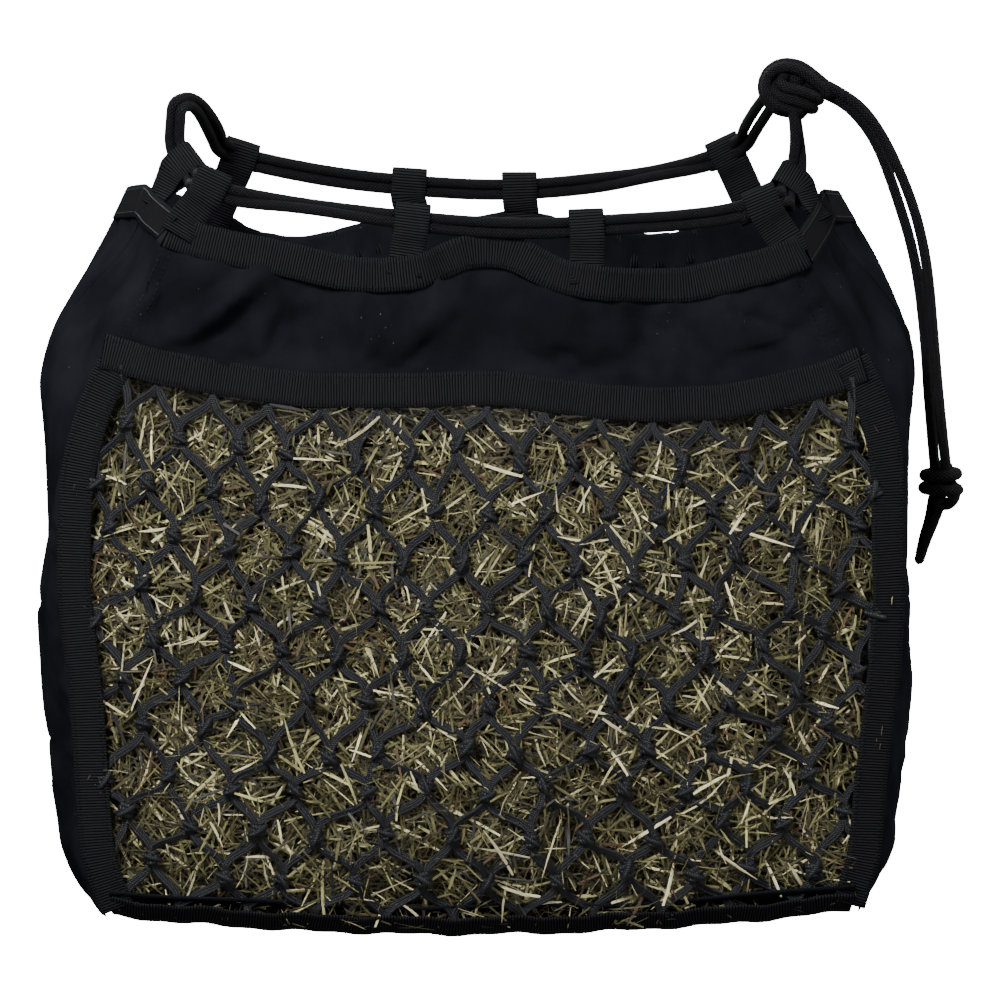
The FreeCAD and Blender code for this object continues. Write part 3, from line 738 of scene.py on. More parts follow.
def back_column(place_x):
    """The back panel at one place from -1 to 1, from its rim to the bottom of the bag."""
    top_x = BAG_X + place_x * level(MOUTH_Z, 1)
    top = along_line(BACK_RIM, top_x)
    z = column_heights(top)
    x = BAG_X + place_x * level(z, 1)
    sway = 0.005 * math.sin(2 * math.pi * top_x / 0.17) * np.clip((z + 0.24) / 0.16, 0, 1)
    y = HALF_DEPTH + (1 - place_x ** 2) * BACK_SWELL * level(z, 3) + (1 - abs(place_x) ** 6) * sway
    return np.stack([x, y, z], axis=1)


def side_column(side, share):
    """A side panel at one share of its depth, with slow waves and the valley beside its crease."""
    z = column_heights(float(rim_top(side, share)))
    points = side_point(side, share, z)
    bow = 1 - abs(share) ** 4
    lower = np.clip((-0.16 - z) / 0.1, 0, 1)
    points[:, 0] += side * bow * 0.0025 * np.sin(9 * share + 26 * z + side) * lower
    (share_0, z_0), (share_1, z_1), half_width, depth = SIDE_VALLEY
    middle = np.interp(z, [z_1, z_0], [share_1, share_0])
    fade = np.interp(z, [z_1 - 0.03, z_1 + 0.03, z_0 - 0.02, z_0], [0, 1, 1, 0.3])
    points[:, 0] -= side * depth * fade * np.exp(-((share - middle) / half_width) ** 2)
    return points


def shell_columns():
    """Columns of the four panels, round the bag from the front left corner; corners are shared."""
    places = np.linspace(-1, 1, FRONT_COLUMNS + 1)
    shares = np.linspace(-1, 1, 2 * HALF_SIDE + 1)
    front = [front_column(place_x) for place_x in places]
    right = [side_column(1, share) for share in shares]
    back = [back_column(place_x) for place_x in places[::-1]]
    left = [side_column(-1, share) for share in shares[::-1]]
    back[0][:] = right[-1]
    back[-1][:] = left[0]
    front[-1][:] = right[0][:BAND_ROWS + 1]
    front[0][:] = left[-1][:BAND_ROWS + 1]
    return front, right, back, left


def settle(front, right, back, left):
    """Let the shell settle as cloth, held along its rim tape, its seams and the top of the net."""
    points = []
    index = {}
    held = []
    rows = BAND_ROWS + LOWER_ROWS + 1
    chains = [("front", front), ("right", right), ("back", back), ("left", left)]
    order = []
    for name, columns in chains:
        for number in range(len(columns) - 1):
            order.append((name, number, columns[number]))
    for spot, (name, number, column) in enumerate(order):
        for row, point in enumerate(column):
            index[spot, row] = len(points)
            points.append(point)
            corner = number == 0
            fixed = row <= 2 or row == rows - 1 or (corner and row >= BAND_ROWS)
            fixed = fixed or (name == "front" and row >= BAND_ROWS - 1)
            held.append(1.0 if fixed else 0.0)
        if name == "front" and number == 0:
            for row in range(len(column), rows):
                index[spot, row] = len(points)
                points.append(left[-1][row])
                held.append(1.0)
    faces = []
    for spot in range(len(order)):
        after = (spot + 1) % len(order)
        for row in range(rows - 1):
            corners = [(spot, row), (after, row), (after, row + 1), (spot, row + 1)]
            open_front = order[spot][0] == "front" and row >= BAND_ROWS
            if not open_front and all(corner in index for corner in corners):
                faces.append([index[corner] for corner in corners])
    shell = new_piece("cloth", points, faces, np.zeros((len(points), 2)), [])
    group = shell.vertex_groups.new(name="held")
    for number, weight in enumerate(held):
        group.add([number], weight, "REPLACE")
    cloth = shell.modifiers.new("cloth", "CLOTH")
    cloth.settings.vertex_group_mass = "held"
    cloth.settings.quality = 6
    cloth.settings.mass = 0.25
    cloth.settings.tension_stiffness = 25
    cloth.settings.compression_stiffness = 25
    cloth.settings.shear_stiffness = 12
    cloth.settings.bending_stiffness = 3.0
    cloth.settings.shrink_min = -0.022
    cloth.settings.shrink_max = -0.022
    cloth.collision_settings.use_collision = False
    cloth.point_cache.frame_end = SETTLE_FRAMES
    scene = bpy.context.scene
    for number in range(1, SETTLE_FRAMES + 1):
        scene.frame_set(number)
    settled = shell.evaluated_get(bpy.context.evaluated_depsgraph_get()).to_mesh()
    found = np.array([vertex.co for vertex in settled.vertices])
    shell.to_mesh_clear()
    scene.frame_set(1)
    bpy.data.objects.remove(shell)
    start = np.array(points)
    moved = found - start
    size = np.linalg.norm(moved, axis=1, keepdims=True)
    found = start + moved * np.minimum(1, SETTLE_LIMIT / np.maximum(size, 1e-9))
    spot = 0
    result = []
    for name, columns in chains:
        taken = []
        for number in range(len(columns)):
            here = (spot + number) % len(order)
            taken.append(np.array([found[index[here, row]] for row in range(len(columns[number]))]))
        spot += len(columns) - 1
        result.append(np.array(taken))
    return result


def outward_normals(columns):
    """Normals of a grid of columns that point out of the bag."""
    down = np.gradient(columns, axis=1)
    across = np.gradient(columns, axis=0)
    return unit(np.cross(across, down)) * -1


def smooth_grid(columns):
    """Halve the spacing of a grid both ways, on a soft curve through its points."""
    for axis in (0, 1):
        moved = np.moveaxis(columns, axis, 0)
        padded = np.concatenate([2 * moved[:1] - moved[1:2], moved, 2 * moved[-1:] - moved[-2:-1]])
        middle = (-padded[:-3] + 9 * padded[1:-2] + 9 * padded[2:-1] - padded[3:]) / 16
        finer = np.empty((2 * len(moved) - 1, *moved.shape[1:]))
        finer[::2] = moved
        finer[1::2] = middle
        columns = np.moveaxis(finer, 0, axis)
    return columns


def cloth_piece(name, columns, material, thickness=FABRIC):
    """A panel with thickness from a grid of columns."""
    fine = smooth_grid(columns)
    normals = outward_normals(fine)
    across = np.cumsum(np.linalg.norm(np.diff(fine, axis=0, prepend=fine[:1]), axis=2), axis=0)
    along = np.cumsum(np.linalg.norm(np.diff(fine, axis=1, prepend=fine[:, :1]), axis=2), axis=1)
    flat = np.stack([across, along], axis=2)
    parts = Parts()
    faces = grid_faces(*fine.shape[:2])
    parts.add(fine + normals * thickness / 2, faces, flat)
    parts.add(fine - normals * thickness / 2, faces[:, ::-1], flat)
    rim = np.concatenate([fine[0], fine[1:, -1], fine[-1, -2::-1], fine[-2:0:-1, 0]])
    rim_normals = np.concatenate([normals[0], normals[1:, -1], normals[-1, -2::-1], normals[-2:0:-1, 0]])
    rim_flat = np.concatenate([flat[0], flat[1:, -1], flat[-1, -2::-1], flat[-2:0:-1, 0]])
    loop = np.stack([rim - rim_normals * thickness / 2, rim + rim_normals * thickness / 2], axis=1)
    loop = np.concatenate([loop, loop[:1]])
    rim_flat = np.concatenate([rim_flat, rim_flat[:1]])
    parts.add(loop, grid_faces(len(loop), 2), np.repeat(rim_flat, 2, axis=0))
    piece = parts.build(name, [material])
    replace_winding(piece)
    return piece


def seam_stitches(name, columns, numbers, first_row):
    """Rows of stitches down some of the columns of a panel."""
    parts = Parts()
    for number in numbers:
        normals = outward_normals(columns)[number, first_row:]
        stitch_row(parts, columns[number, first_row:] + normals * FABRIC / 2, normals, 0)
    piece = parts.build(name, [materials["thread"]])
    return piece


def replace_winding(piece):
    """Make every face look out of its solid."""
    work = bmesh.new()
    work.from_mesh(piece.data)
    bmesh.ops.remove_doubles(work, verts=work.verts, dist=1e-6)
    bmesh.ops.recalc_face_normals(work, faces=work.faces)
    work.to_mesh(piece.data)
    work.free()


def depth_line(columns, distance, lift):
    """The line a distance below the top edge of a grid of columns, lifted off it, with its directions."""
    normals = outward_normals(columns)
    line = []
    down = []
    out = []
    for column, column_normals in zip(columns, normals):
        run = lengths(column)
        here = at_run(column, run, distance)
        normal = unit(at_run(column_normals, run, distance))
        line.append(here + normal * lift)
        down.append(unit(at_run(column, run, distance + 0.004) - here))
        out.append(normal)
    return np.array(line), np.array(down), np.array(out)


def soft_line(points, steps=3):
    """A finer and smoother copy of a line of points."""
    points = np.asarray(points, float)
    run = lengths(points)
    fine = np.linspace(0, run[-1], steps * len(points))
    return np.stack([np.interp(fine, run, points[:, k]) for k in range(3)], axis=1)


def sewn_tape(node, line, widths, out=None, offset=STITCH_OFFSET, name=None):
    """A ribbed tape along a line, with two rows of stitches where out gives the direction off its face."""
    parts = Parts()
    parts.add(*ribbon_grid(line, widths, TAPE / 2, TAPE_THICKNESS))
    used = [materials["webbing"]]
    if out is not None:
        used.append(materials["thread"])
        for shift in (-offset, offset):
            stitch_row(parts, line + widths * shift + out * TAPE_THICKNESS / 2, out, 1)
    piece = parts.build(name or node + "_webbing", used)
    replace_winding(piece)
    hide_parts(node)
    return piece


def tape_along(node, columns, bumps=(), name=None):
    """A tape sewn over the top edge of a grid of columns, raised where webbing loops pass under it."""
    line, down, out = depth_line(columns, TAPE / 2, (FABRIC + TAPE_THICKNESS) / 2)
    line, down, out = soft_line(line), soft_line(down), soft_line(out)
    for bump in bumps:
        away = np.linalg.norm(line - np.asarray(bump), axis=1)
        line = line + out * (0.0030 * np.exp(-(away / 0.021) ** 4))[:, None]
    return sewn_tape(node, line, down, out, 0.0095, name)


# ---------------------------------------------------------------- rims, and pieces baked in place

def rim_of(front):
    """The body and the y of one rim."""
    return ("front_rim", -HALF_DEPTH) if front else ("back_rim", HALF_DEPTH)


def bend_band(piece):
    """Fabric of the front or back: its placement is baked into its mesh."""
    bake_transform(piece)


def bend_gusset(piece, front):
    """Half of a side panel: the slope from the end of the mouth's hinge up to the crease is worked out, but
    the piece is only baked in place.
    """
    body, y = rim_of(front)
    slope = Vector((0, -y, SEAM_PEAK_Z - FOLD_Z)).normalized()
    across = Vector((0, -slope.z, slope.y)) if front else Vector((0, slope.z, -slope.y))
    if across.z < 0:
        across = -across
    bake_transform(piece)


# ---------------------------------------------------------------- fabric, tapes and loops

def add_fabric():
    """Front band, back and side panels, and the side rims' tapes. Returns the front's and back's columns."""
    front, right, back, left = shell_columns()
    front, right, back, left = settle(front, right, back, left)
    nylon = materials["fabric"]
    band = cloth_piece("front_band_cloth", front, nylon)
    bend_band(band)
    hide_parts("front_band")
    stitches = seam_stitches("front_band_stitches", front, (1, 2, -2, -3), 3)
    bend_band(stitches)
    back_cloth = cloth_piece("back_panel_cloth", back, nylon)
    bend_band(back_cloth)
    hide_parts("back_panel_upper", "back_panel_lower")
    for side, name, columns in ((-1, "left", left), (1, "right", right)):
        for front_half in (True, False):
            first = (side == 1) == front_half
            part = columns[:HALF_SIDE + 1] if first else columns[HALF_SIDE:]
            end = "front" if front_half else "back"
            half = cloth_piece(f"{name}_side_cloth_{end}", part, nylon)
            bend_gusset(half, front_half)
            tape = tape_along(f"rim_tape_{name}", part, name=f"rim_tape_{name}_{end}_half")
            bend_gusset(tape, front_half)
            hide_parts(f"{name}_side_panel")
    return front, back


def loop_line(head, along, base, outward, depth):
    """Line of a webbing hairpin from under the tape, round the two strands of rope, and back."""
    head, base = Vector(head), Vector(base)
    along = Vector(along).normalized()
    up = head - base
    up = (up - along * up.dot(along)).normalized()
    front = along.cross(up)
    if front.dot(Vector(outward)) < 0:
        front = -front
    drop = (head - base).dot(up)
    slant = (base - head) + up * drop
    side = [
        (0.0012, -drop - depth), (0.0012, -drop), (0.0014, -0.6 * drop - 0.006), (0.0024, -0.0165),
        (0.0056, -0.0090), (0.0060, 0.0030), (0.0052, 0.0108),
    ]
    outline = side + [(0.0, 0.0128)] + [(-f, u) for f, u in reversed(side)]
    points = []
    for f, u in outline:
        share = min(max((-u - 0.009) / (drop - 0.009), 0), 1.3)
        points.append(head + front * f + up * u + slant * share)
    return spline(points, 10)


def add_loop(node, body, head, along, base, base_along, outward, depth):
    """One webbing loop over the two strands of rope, its ends sewn under the rim tape to a depth."""
    line = loop_line(head, along, base, outward, depth)
    head = np.array(head)
    base = np.array(base)
    straight = 0.010  # the loop keeps the rope's direction this far from the rope
    away = np.linalg.norm(line - head, axis=1) - straight
    share = np.clip(away / (np.linalg.norm(base - head) - straight), 0, 1)[:, None]
    widths = unit(np.array(base_along, float)) * share + unit(np.array(along, float)) * (1 - share)
    parts = Parts()
    parts.add(*ribbon_grid(line, widths, TAPE / 2, 0.0016))
    piece = parts.build(node + "_webbing", [materials["webbing"]])
    replace_winding(piece)
    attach(piece, body)
    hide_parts(node)


def slope_of(points, x, reach=0.008):
    """Direction of a line of (x, z) points at x."""
    return (2 * reach, 0.0, float(along_line(points, x + reach) - along_line(points, x - reach)))


# Where each rim loop holds the rope, and where its foot meets the rim: (x on the rope, x on the rim).
FRONT_LOOPS = [(0.012, -0.0050), (0.161, 0.157), (0.290, 0.290), (0.420, 0.4360)]
BACK_LOOPS = [(0.040, 0.024), (0.166, 0.169), (0.2485, 0.250), (0.403, 0.420)]

# The loops at the ends of the mouth, by end: the middle of the rope in the loop, the rope's direction there,
# the loop's foot, the rim's direction there, and a direction out of the loop's front.
END_LOOPS = {
    "left": (
        (-0.0045, -0.023, -0.0310), (0.47, -0.66, -0.58),
        (-0.0232, -0.028, -0.0540), (0.28, -0.92, -0.25), (-0.4, -1, 0.5),
    ),
    "right": (
        (0.4440, -0.022, -0.0465), (-0.40, -0.78, -0.49),
        (0.4622, -0.031, -0.0670), (-0.28, -0.92, -0.25), (0.4, -1, 0.5),
    ),
}
RIM_LOOP_DEPTH = 0.014
END_LOOP_DEPTH = 0.009


def add_rim_loops(name, columns, route, runs, rim, spots):
    """The four loops on one rim. Returns the places of their feet under the tape."""
    body, y = rim_of(name == "front")
    out = math.copysign(1, y)
    table = np.array([runs[0][1], *route[1:-1], runs[1][1]])
    reach = 0.006
    feet = []
    for number, (rope_x, rim_x) in enumerate(spots, start=1):
        z, z_after, z_before = np.interp([rope_x, rope_x + reach, rope_x - reach], table[:, 0], table[:, 1])
        rim_y = float(np.interp(rim_x, columns[:, 1, 0], columns[:, 1, 1]))
        rim_z = float(np.interp(rim_x, columns[:, 0, 0], columns[:, 0, 2]))
        base = (rim_x, rim_y + 0.0003 * out, rim_z)
        feet.append((rim_x, rim_y, rim_z - TAPE / 2))
        add_loop(
            f"loop_{name}_{number}", body, (rope_x, y, z), (2 * reach, 0.0, z_after - z_before),
            base, slope_of(rim, rim_x), (0, out, 0), RIM_LOOP_DEPTH,
        )
    return feet


def add_loops(front, back):
    """The eight loops on the rims and the two at the ends of the mouth. Returns the feet on each rim."""
    front_runs = (FRONT_LEFT_RUN, FRONT_RIGHT_RUN)
    back_runs = (BACK_LEFT_RUN, BACK_RIGHT_RUN)
    front_feet = add_rim_loops("front", front, FRONT_ROPE, front_runs, FRONT_RIM, FRONT_LOOPS)
    back_feet = add_rim_loops("back", back[::-1], BACK_ROPE, back_runs, BACK_RIM, BACK_LOOPS)
    for end, places in END_LOOPS.items():
        add_loop(f"loop_side_{end}", "bag", *places, END_LOOP_DEPTH)
    return front_feet, back_feet


def add_rim_tapes(front, back, feet):
    """Ribbed tape along the front and back rims."""
    for name, columns, rim_feet in (("front", front, feet[0]), ("back", back, feet[1])):
        tape = tape_along(f"rim_tape_{name}", columns, rim_feet)
        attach(tape, f"{name}_rim")


NET_TAPE_Y = -HALF_DEPTH - 0.0054
SIDE_TAPE_Z = (-0.170, -0.576)
SIDE_TAPE_INSET = 0.0105
SIDE_TAPE_LIFT = 0.0045
BOTTOM_TAPE_Z = -0.5748
BOTTOM_TAPE_SAG = 0.0155
BOTTOM_TAPE_LIFT = 0.0055


def add_net_tape_top():
    """The tape between the front band and the net."""
    x = np.linspace(NET_TAPE[0][0], NET_TAPE[-1][0], 90)
    z = along_line(NET_TAPE, x)
    y = NET_TAPE_Y + (0.0012 * np.sin(x * 70) - 0.0008 * np.sin(x * 150 + 1))
    line = np.stack([x, y, z], axis=1)
    down = np.broadcast_to(unit(np.array([0, -0.16, -1.0])), line.shape)
    out = np.broadcast_to(unit(np.array([0, -1, 0.16])), line.shape)
    bend_band(sewn_tape("net_tape_top", line, down, out))


def add_net_tapes_sides():
    """The tapes down the left and right edges of the net."""
    for side, name in ((-1, "left"), (1, "right")):
        z = np.linspace(*SIDE_TAPE_Z, 90)
        x = BAG_X + side * (level(z, 1) - SIDE_TAPE_INSET + 0.0012 * np.sin(z * 31 + side))
        y = -HALF_DEPTH - SIDE_TAPE_LIFT - 0.003 * level(z, 3)
        line = np.stack([x, y, z], axis=1)
        turn_in = -0.10 - 0.20 * level(z, 3)
        inward = unit(np.stack([np.full_like(z, -side), turn_in, 0.06 * np.sin(z * 23)], axis=1))
        out = np.cross(inward, np.gradient(line, axis=0))
        out = unit(out) * np.where(out[:, 1:2] < 0, 1, -1)
        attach(sewn_tape(f"net_tape_{name}", line, inward, out), "bag")


def add_net_tape_bottom():
    """The tape under the net, turned under the front edge of the bottom."""
    x = np.linspace(BAG_X - BOTTOM_HALF_WIDTH, BAG_X + BOTTOM_HALF_WIDTH, 80)
    place_x = (x - BAG_X) / BOTTOM_HALF_WIDTH
    z = BOTTOM_TAPE_Z - BOTTOM_TAPE_SAG * (1 - place_x ** 2)
    y = -HALF_DEPTH - BOTTOM_TAPE_LIFT * (1 - place_x ** 8) + 0.0010 * np.sin(x * 61)
    z = z + 0.0009 * np.sin(x * 83 + 1) + 0.0006 * np.sin(x * 190)
    line = np.stack([x, y, z], axis=1)
    widths = np.broadcast_to(unit(np.array([0, 0.80, -0.60])), line.shape)
    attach(sewn_tape("net_tape_bottom", line, widths), "bag")


PANEL_HALF_WIDTH = 0.276
PANEL_Z = -0.5785
PANEL_DEPTHS = (-1.14, 1)  # from front to back, in half depths
TURN_UP_FROM = 0.92  # where the front edge starts to turn up
TURN_UP_SLOPE = 0.0675


def add_bottom():
    """The bottom panel, sagging under the hay, its front edge turned up behind the net."""
    places = np.linspace(-1, 1, 50)
    depths = np.linspace(*PANEL_DEPTHS, 22)
    turned_up = TURN_UP_SLOPE * np.clip(-depths - TURN_UP_FROM, 0, 1)
    columns = []
    for place_x in places:
        x = BAG_X + place_x * PANEL_HALF_WIDTH
        z = PANEL_Z - BOTTOM_SAG * (1 - place_x ** 2) - 0.0012 * np.sin(34 * x + 3 * depths)
        z = z + 0.004 * np.clip(np.abs(depths), 0, 1) ** 6 + turned_up
        columns.append(np.stack([np.full_like(depths, x), depths * HALF_DEPTH, z], axis=1))
    piece = cloth_piece("bottom_panel_cloth", np.array(columns), materials["fabric"])
    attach(piece, "bag")
    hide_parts("bottom_panel")


# ---------------------------------------------------------------- rope

def strand(name, points, node=None, body=None):
    """One strand of the braided rope along control points. Returns the piece and its middle line."""
    line = spline(points, 10)
    piece = tube(name, line, ROPE_RADIUS, materials["rope"], 20)
    if node:
        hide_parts(node)
    if body:
        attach(piece, body)
    return piece, line


def beside(route, y, side, roll=None):
    """One strand of a pair along a rim's route: side is 1 for the strand above it, -1 for the one below."""
    table = np.array(route)
    along = unit(np.gradient(table, axis=0))
    angle = np.zeros(len(table))
    if roll:
        middle, half_length, most = roll
        angle = most * np.exp(-((table[:, 0] - middle) / half_length) ** 4)
    gaps = side * STRAND_LIFT * np.cos(angle)
    forward = side * STRAND_LIFT * np.sin(angle)
    return [
        (x - gap * slope, y + shift, z + gap * run)
        for (x, z), (run, slope), gap, shift in zip(table, along, gaps, forward)
    ]


def lead(route):
    """Two points that bring another line smoothly into the start of a strand's route."""
    first, second = np.array(route[0]), np.array(route[1])
    return [tuple(2 * first - second), tuple(first)]


def add_rim_ropes():
    """The doubled draw rope: along each rim, round the left bight and up to the top knot."""
    for name, route, roll in (("front", FRONT_ROPE, FRONT_ROLL), ("back", BACK_ROPE, BACK_ROLL)):
        rim, y = rim_of(name == "front")
        for row, side in (("lower", -1), ("upper", 1)):
            strand(f"rope_{name}_{row}_braid", beside(route, y, side, roll), f"rope_{name}_{row}", rim)
    for name, run, bends, routes in (
        ("left_front", FRONT_LEFT_RUN, LEFT_FRONT_BEND, (LEFT_LOWER, LEFT_UPPER)),
        ("left_back", BACK_LEFT_RUN, LEFT_BACK_BEND, (LEFT_UPPER[::-1], LEFT_LOWER[::-1])),
        ("right_front", FRONT_RIGHT_RUN, RIGHT_FRONT_BEND, (RIGHT_FRONT_LOWER, RIGHT_FRONT_UPPER)),
        ("right_back", BACK_RIGHT_RUN, RIGHT_BACK_BEND, (RIGHT_BACK_LOWER, RIGHT_BACK_UPPER)),
    ):
        rim, y = rim_of(name.endswith("front"))
        facing = 1 if run[1][0] > run[0][0] else -1
        for row, side, bend, route in zip(("lower", "upper"), (-1, 1), bends, routes):
            on_rim = beside(run, y, side * facing)
            on_bag = [bend] + lead(route)
            piece = strand(f"rope_corner_{name}_{row}", on_rim + on_bag)[0]
            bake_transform(piece)
    for name, route in (
        ("left_lower", LEFT_LOWER), ("left_upper", LEFT_UPPER),
        ("right_front_lower", RIGHT_FRONT_LOWER), ("right_front_upper", RIGHT_FRONT_UPPER),
        ("right_back_lower", RIGHT_BACK_LOWER), ("right_back_upper", RIGHT_BACK_UPPER),
    ):
        strand(f"rope_{name}_braid", route, f"rope_{name}", "bag")


# Overhand knot at the top, strand by strand, from its centre: out of the risers, round, and off to the tail.
TOP_KNOT_WRAP = [
    (0.006, -0.006, -0.016), (-0.008, -0.010, -0.016), (-0.020, -0.006, -0.004), (-0.019, -0.002, 0.010),
    (-0.008, -0.003, 0.0185), (0.006, -0.005, 0.0170), (0.0155, -0.005, 0.010), (0.0225, -0.003, 0.0035),
    (0.0275, 0.000, -0.0015),
]
TOP_KNOT_TUCK = [
    (-0.006, 0.000, 0.010), (-0.012, -0.009, 0.004), (-0.006, -0.015, -0.001), (0.004, -0.016, -0.003),
    (0.013, -0.013, -0.007), (0.020, -0.006, -0.011), (0.017, 0.003, -0.013), (0.006, 0.010, -0.010),
    (-0.006, 0.012, -0.002), (-0.006, 0.011, 0.008), (0.006, 0.010, 0.010), (0.016, 0.006, 0.004),
]


# Short thick turns inside the top knot, from its core, and the bridge from the core to the tail.
TOP_KNOT_FILL = [
    ((-0.012, 0.004, -0.014), (0.008, 0.0, 0.010)), ((0.006, 0.0, -0.018), (0.000, 0.002, 0.010)),
]
TOP_KNOT_BRIDGE = [(0.004, 0.002, 0.004), (0.016, 0.000, 0.001), (0.026, 0.000, -0.003)]
# The end knot, from its centre: each wrap's radius, height and tilt, the turn that holds them, its inside.
END_KNOT_WRAPS = [(0.0118, 0.0062, 0.05), (0.0126, -0.0045, -0.06)]
END_KNOT_TUCK = [
    (0.009, -0.002, -0.002), (0.011, -0.006, -0.008), (0.007, -0.006, -0.0145), (0.002, -0.003, -0.0165),
    (-0.001, 0.003, -0.012), (0.000, 0.004, -0.003),
]
END_KNOT_FILL = [
    ((0.004, -0.005, 0.012), (-0.002, -0.0048, -0.0165)), ((-0.003, 0.005, 0.012), (-0.005, 0.0048, -0.0165)),
]


def finish_knot(parts, node, body):
    """The piece of a knot, in place of its node."""
    piece = parts.build(f"{node}_rope", [materials["rope"]])
    replace_winding(piece)
    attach(piece, body)
    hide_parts(node)
    return piece


def add_top_knot():
    """Two strands side by side through each turn of the knot, over a core."""
    parts = Parts()
    for route, spread_by in ((TOP_KNOT_WRAP, 0.0042), (TOP_KNOT_TUCK, 0.0040)):
        line = spline([KNOT + Vector(point) for point in route], 12)
        along = frames(line, (0.0, 1.0, 0.0))[0]
        away = unit(line - np.array(KNOT))
        flank = unit(np.cross(along, away))
        for shift in (-spread_by, spread_by):
            grid, faces, flat = tube_grid(line + flank * shift, ROPE_RADIUS * 1.02, 20)
            parts.add(grid, faces, flat)
    core = KNOT + Vector((0.0, 0.0, 0.002))
    for start, end in TOP_KNOT_FILL:
        line = spline([core + Vector(start), core, core + Vector(end)], 8)
        parts.add(*tube_grid(line, ROPE_RADIUS * 1.9, 16))
    bridge = spline([core + Vector(point) for point in TOP_KNOT_BRIDGE], 8)
    parts.add(*tube_grid(bridge, ROPE_RADIUS * 1.3, 16))
    finish_knot(parts, "top_knot", "bag")


def add_end_knot():
    """Overhand knot at the end of the tail: two wraps and the turn under them."""
    parts = Parts()
    start_angle = 0.2
    for radius, height, tilt in END_KNOT_WRAPS:
        ring = []
        for angle in np.linspace(start_angle, start_angle + 2 * math.pi, 40):
            x = radius * math.cos(angle)
            ring.append(END_KNOT + Vector((x, radius * 0.86 * math.sin(angle), height + tilt * x)))
        ring[-1] = ring[-1] + Vector((-0.001, 0.003, 0.0))
        parts.add(*tube_grid(np.array(ring), ROPE_RADIUS * 1.12, 20))
    tuck = spline([END_KNOT + Vector(point) for point in END_KNOT_TUCK], 12)
    parts.add(*tube_grid(tuck, ROPE_RADIUS * 1.12, 20))
    for start, end in END_KNOT_FILL:
        line = spline([END_KNOT + Vector(start), END_KNOT, END_KNOT + Vector(end)], 10)
        parts.add(*tube_grid(line, ROPE_RADIUS * 1.25, 16))
    return finish_knot(parts, "end_knot", "tail")


def add_tail():
    """The two free strands of the tail, their knot and their short ends."""
    knot = add_end_knot()
    ends = []
    for name, route in (("outer", TAIL_END_OUTER), ("inner", TAIL_END_INNER)):
        first, second = Vector(route[0]), Vector(route[1])
        inside_knot = first + (first - second) * 0.4
        ends.append(strand(f"tail_end_{name}_braid", [inside_knot, *route], f"tail_end_{name}", "tail")[0])
    outer = ("outer", TAIL_OUTER, [knot, ends[0]])
    inner = ("inner", TAIL_INNER, [ends[1]])
    for name, route, with_pieces in (outer, inner):
        piece, line = strand(f"tail_strand_{name}_braid", route, f"tail_strand_{name}", "tail")


# ---------------------------------------------------------------- net

NET_ROWS = 11
NET_SIDE_COLUMNS = 8
NET_TOP_PITCH = 0.0405
NET_FOOT_PITCH = 0.0510
NET_FOOT_Z = -0.573
NET_FOOT_HALF_WIDTH = 0.29
NET_START = 0.0095  # from the middle of the top tape down to the first row, which the tape hides
NET_INSET = 0.016  # knots keep this far inside the bag's corners
KNOT_JITTER = 0.0042
CORD_RADIUS = 0.00122
CORD_SPACING = 0.0020
LEG_LIFT = 0.0034  # of the legs and the knots off the hay
KNOT_LIFT = 0.0055


def net_top(x):
    """Height of the middle of the tape over the net."""
    return along_line(NET_TAPE, np.clip(x, NET_TAPE[0][0], NET_TAPE[-1][0]))


def net_knots():
    """Knot places by (row, column), on the hay, fanning out from the top to the bottom."""
    knots = {}
    for row in range(NET_ROWS + 1):
        share = row / NET_ROWS
        pitch = NET_TOP_PITCH + (NET_FOOT_PITCH - NET_TOP_PITCH) * share ** 1.3
        for column in range(-NET_SIDE_COLUMNS, NET_SIDE_COLUMNS + 1):
            step = column + (0.5 if row % 2 else 0.0)
            x = BAG_X + 0.004 + step * pitch
            place_x = np.clip((x - BAG_X) / NET_FOOT_HALF_WIDTH, -1, 1)
            top = float(net_top(x)) - NET_START
            foot = NET_FOOT_Z - BOTTOM_SAG * (1 - place_x ** 2)
            z = top + (foot - top) * (share ** 0.96)
            free = 0.0 if row in (0, NET_ROWS) else 1.0
            x += free * random.normal(0, KNOT_JITTER)
            z += free * random.normal(0, KNOT_JITTER)
            half = float(level(z, 1)) - NET_INSET
            beyond = abs(x - BAG_X) > half
            x = float(np.clip(x, BAG_X - half, BAG_X + half))
            knots[row, column] = (x, z, beyond)
    return knots


def on_hay(x, z, lift):
    """Points lifted off the front of the hay, and never behind the fabric's front."""
    x = np.asarray(x, float)
    z = np.asarray(z, float)
    y = np.minimum(hay_front(x, z) + lumps(x, z, 0.6), -HALF_DEPTH - 0.001)
    return np.stack([x, y - lift, z], axis=-1)


def leg_line(upper, lower, steps=14):
    """A slack leg: it leaves each knot nearly upright and swings across between them."""
    t = np.linspace(0, 1, steps)
    (upper_x, upper_z), (lower_x, lower_z) = upper, lower
    rise = lower_z - upper_z
    run = lower_x - upper_x
    slack = 1.65 + random.normal(0, 0.15)
    upper_lean = random.normal(0, 0.22)
    lower_lean = random.normal(0, 0.22)
    from_upper = 2 * t**3 - 3 * t**2 + 1
    from_lower = -2 * t**3 + 3 * t**2
    leave = t**3 - 2 * t**2 + t
    arrive = t**3 - t**2
    x = from_upper * upper_x + leave * run * upper_lean + from_lower * lower_x + arrive * run * lower_lean
    z = from_upper * upper_z + leave * rise * slack + from_lower * lower_z + arrive * rise * slack
    bow = math.copysign(0.0028, run) * math.sin(random.uniform(0, math.pi))
    x = x + bow * np.sin(math.pi * t) * (1 if random.random() < 0.5 else -0.4)
    return on_hay(x, z, LEG_LIFT + 0.0012 * random.random())


